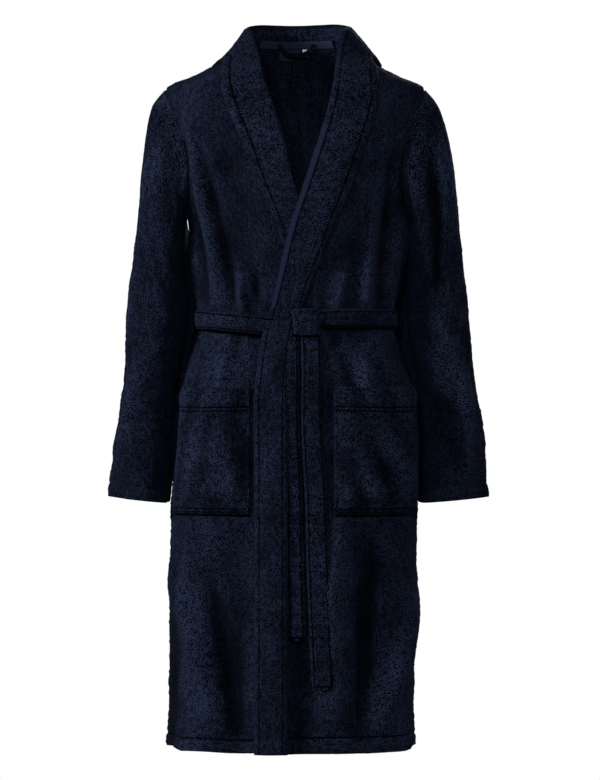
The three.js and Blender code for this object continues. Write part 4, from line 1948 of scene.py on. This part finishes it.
@dataclass(frozen=True)
class Neck:
    """What is sewn inside the back of the neck.

    Attributes:
        seam_top: the height that the labels hang from.
        tape_angles: where the tape starts and stops round the neck.
        tape_heights: its lower and its upper edge.
        tape_length: its length laid flat.
        loop_x: x of the hanger loop's middle.
        loop_top: the height of its ends.
        loop_half_width: half the distance between them.
        droop: how far it hangs below them.
        loop_strap: how wide its strip is.
        loop_thickness: how thick it is.
        stand_off: how far its middle stands off the back.
        loop_flat: its width and length laid flat.
    """

    seam_top: float = 0.0274
    tape_angles: tuple[float, float] = (134, 226)
    tape_heights: tuple[float, float] = (0.028, 0.040)
    tape_length: float = 0.155
    loop_x: float = 0.002
    loop_top: float = 0.036
    loop_half_width: float = 0.032
    droop: float = 0.020
    loop_strap: float = 0.008
    loop_thickness: float = 0.0025
    stand_off: float = 0.015
    loop_flat: tuple[float, float] = (0.010, 0.085)

    def build(self) -> None:
        """Builds the tape, the label, the size tab and the hanger loop."""
        self.tape()
        self.label("blank_label_cloth", (-0.026, 0.010), 0.009,
                   Woven("label_weave", (0.012, 0.016, 0.034)), "label_ground", "woven_label")
        self.label("size_tab_cloth", (0.012, 0.022), 0.016,
                   Woven("tab_weave", (0.75, 0.75, 0.74)), "size_tab", "size_tab")
        self.hanger()

    def tape(self) -> None:
        """The herringbone tape over the seam at the back of the neck."""
        start, stop = self.tape_angles
        low, high = self.tape_heights
        proud, thickness = 0.0014, 0.0016

        def place(a: Array, z: Array) -> tuple[Array, Array]:
            """Places the tape.

            Args:
                a: degrees round the body.
                z: heights.

            Returns:
                The points and their flat pattern places.
            """
            flat = np.stack([(a - start) / (stop - start) * self.tape_length, z - low], -1)
            return BODY.on(a, z, thickness + proud), flat

        obj = sheet_mesh("neck_tape_cloth", np.linspace(start, stop, 70), np.linspace(low, high, 9), place)
        face_outwards(obj, body_line)
        thicken(obj, proud)
        dress(obj, Woven("tape_weave", (0.011, 0.016, 0.033), 0.0012, 0.002))
        declare(obj, "robe", "neck_tape", (self.tape_length, high - low), Held.STRETCHED, "neck_tape")

    def label(
        self, name: str, xs: tuple[float, float], low: float, weave: Woven, slot: str, node: str
    ) -> None:
        """A small woven label hanging on the inside of the back, its lower edge curling off it.

        Args:
            name: the piece's name.
            xs: x of its two sides.
            low: the height of its lower edge.
            weave: what it is made of.
            slot: the record's colour slot.
            node: the frame's node that it replaces.
        """
        high = self.seam_top

        def place(x: Array, z: Array) -> tuple[Array, Array]:
            """Places the label.

            Args:
                x: places across.
                z: heights.

            Returns:
                The points and their flat pattern places.
            """
            curl = 0.0004 * smooth(high - 0.004, low, z)
            return BODY.on(BODY.back_angle(x, z), z, -0.0006 - curl), np.stack([x - xs[0], z - low], -1)

        obj = sheet_mesh(name, np.linspace(*xs, 14), np.linspace(low, high, 12), place)
        face_outwards(obj, body_line)
        thicken(obj, 0.0008)
        dress(obj, weave)
        declare(obj, "robe", slot, (round(xs[1] - xs[0], 4), round(high - low, 4)), Held.HUNG, node)

    def hanger(self) -> None:
        """The loop that the robe hangs by, drooping from the back of the neck."""

        def place(u: Array, v: Array) -> tuple[Array, Array]:
            """Places a flat strip bent round half a ring, standing off the back in its middle.

            Args:
                u: shares round its section.
                v: shares along it.

            Returns:
                The points and their flat pattern places.
            """
            turn, arc = math.tau * u, math.pi * v
            c, s = np.cos(turn), np.sin(turn)
            wide = 0.5 * self.loop_strap * (np.sign(c) * np.abs(c) ** 0.7 - 1)
            x = self.loop_x + (self.loop_half_width + wide) * np.cos(arc)
            z = self.loop_top - (self.droop + wide) * np.sin(arc)
            face = 0.5 * self.loop_thickness * np.sign(s) * np.abs(s) ** 0.7
            offset = -0.00018 - self.stand_off * np.sin(arc) + face
            offset = offset + 0.0003 * lumps(x, z, 0.008, 71) * np.sin(arc)
            return BODY.on(BODY.back_angle(x, z), z, offset), np.stack([u * 0.02, v * 0.10], -1)

        around, along = np.linspace(0, 1, 17), np.linspace(0, 1, 60)
        obj = sheet_mesh("hanger_loop_cloth", around, along, place, closed=True)
        close_up(obj)
        dress(obj, Fleece("hanger_loop_fleece"))
        declare(obj, "hang_loop", "belt_fleece", self.loop_flat, Held.HUNG, "hanger_loop")


# ---------------------------------------------------------------- studio


@dataclass(frozen=True)
class Lamp:
    """A soft square lamp: its name, its place, its size and its power in watts."""

    name: str
    place: tuple[float, float, float]
    size: float
    power: float


@dataclass(frozen=True)
class Studio:
    """A white studio with a long lens and soft lamps.

    Attributes:
        distance: how far the camera stands from the robe.
        aim: the middle of its view.
        tall: the height of its view at the robe.
        dome: the white backdrop's radius.
        floor_z: the floor's height, below the camera's view.
        floor_radius: the floor's radius.
        ambience: the strength of the light from all sides.
        lamps: the lamps.
    """

    distance: float = 6.0
    aim: tuple[float, float, float] = (0.008, -0.09, -0.537)
    tall: float = 1.2605
    dome: float = 45
    floor_z: float = -1.36
    floor_radius: float = 1.5
    ambience: float = 0.06
    lamps: tuple[Lamp, ...] = (
        Lamp("key", (-3.5, -1.9, 0.9), 0.8, 330), Lamp("fill", (3.6, -1.0, 0.6), 0.8, 70),
        Lamp("front", (-0.3, -4.6, 0.7), 0.9, 130), Lamp("back", (1.0, 3.6, 1.6), 1.2, 160),
    )

    def build(self) -> None:
        """Sets the camera, the backdrop, the floor, the lamps and the view's tone."""
        camera = bpy.data.objects.new("camera", bpy.data.cameras.new("camera"))
        camera.data.sensor_fit = "VERTICAL"
        camera.data.sensor_height = 36
        camera.data.lens = camera.data.sensor_height * self.distance / self.tall
        camera.data.clip_end = 4 * self.dome
        camera.location = (self.aim[0], self.aim[1] - self.distance, self.aim[2])
        camera.rotation_euler = (math.pi / 2, 0, 0)
        bpy.context.scene.collection.objects.link(camera)
        bpy.context.scene.camera = camera
        self.backdrop()
        self.floor()
        self.world()
        for lamp in self.lamps:
            self.light(lamp)
        bpy.context.scene.view_settings.view_transform = "Standard"
        bpy.context.scene.view_settings.look = "None"

    @staticmethod
    def stand(name: str, bm: bmesh.types.BMesh, shader: str, colour: tuple) -> bpy.types.Object:
        """Stands a piece of the studio, which gives no light of its own to the robe.

        Args:
            name: the piece's name.
            bm: its mesh, freed here.
            shader: the type of its surface's node.
            colour: its colour.

        Returns:
            The object.
        """
        mesh = bpy.data.meshes.new(name)
        bm.to_mesh(mesh)
        bm.free()
        obj = bpy.data.objects.new(name, mesh)
        bpy.context.scene.collection.objects.link(obj)
        s = Shader(name + "_paint")
        surface = s.node(shader, None, {"Color": (*colour, 1)})
        s.node("ShaderNodeOutputMaterial", None, {"Surface": surface.outputs[0]})
        obj.data.materials.append(s.material)
        obj.visible_diffuse = False
        return obj

    def backdrop(self) -> None:
        """A white dome all round the robe."""
        bm = bmesh.new()
        bmesh.ops.create_uvsphere(bm, u_segments=48, v_segments=24, radius=self.dome)
        bmesh.ops.reverse_faces(bm, faces=bm.faces)
        obj = self.stand("backdrop", bm, "ShaderNodeEmission", (1, 1, 1))
        obj.visible_glossy = False
        obj.visible_shadow = False

    def floor(self) -> None:
        """A round pale floor a little below the hem."""
        bm = bmesh.new()
        bmesh.ops.create_circle(bm, cap_ends=True, segments=96, radius=self.floor_radius)
        obj = self.stand("floor", bm, "ShaderNodeBsdfDiffuse", (0.82, 0.82, 0.82))
        obj.location.z = self.floor_z

    def world(self) -> None:
        """An even, weak light from all sides."""
        world = bpy.data.worlds.new("world")
        world.use_nodes = True
        world.node_tree.nodes["Background"].inputs[0].default_value = (1, 1, 1, 1)
        world.node_tree.nodes["Background"].inputs[1].default_value = self.ambience
        bpy.context.scene.world = world

    def light(self, lamp: Lamp) -> None:
        """Hangs a lamp, turned to the robe.

        Args:
            lamp: which lamp.
        """
        light = bpy.data.lights.new(lamp.name, "AREA")
        light.size = lamp.size
        light.energy = lamp.power
        obj = bpy.data.objects.new(lamp.name, light)
        obj.location = lamp.place
        obj.rotation_euler = (Vector(self.aim) - Vector(lamp.place)).to_track_quat("-Z", "Y").to_euler()
        bpy.context.scene.collection.objects.link(obj)


def main() -> None:
    """Builds the robe from its panels inwards, then the studio round it."""
    logging.basicConfig(level=logging.INFO, format="%(message)s")
    for part in (BodyPanels(), Sleeves(), Pockets(), Trim(), Belt(), Neck(), Studio()):
        part.build()
        log.info("%s done", type(part).__name__)


if __name__ == "__main__":
    main()
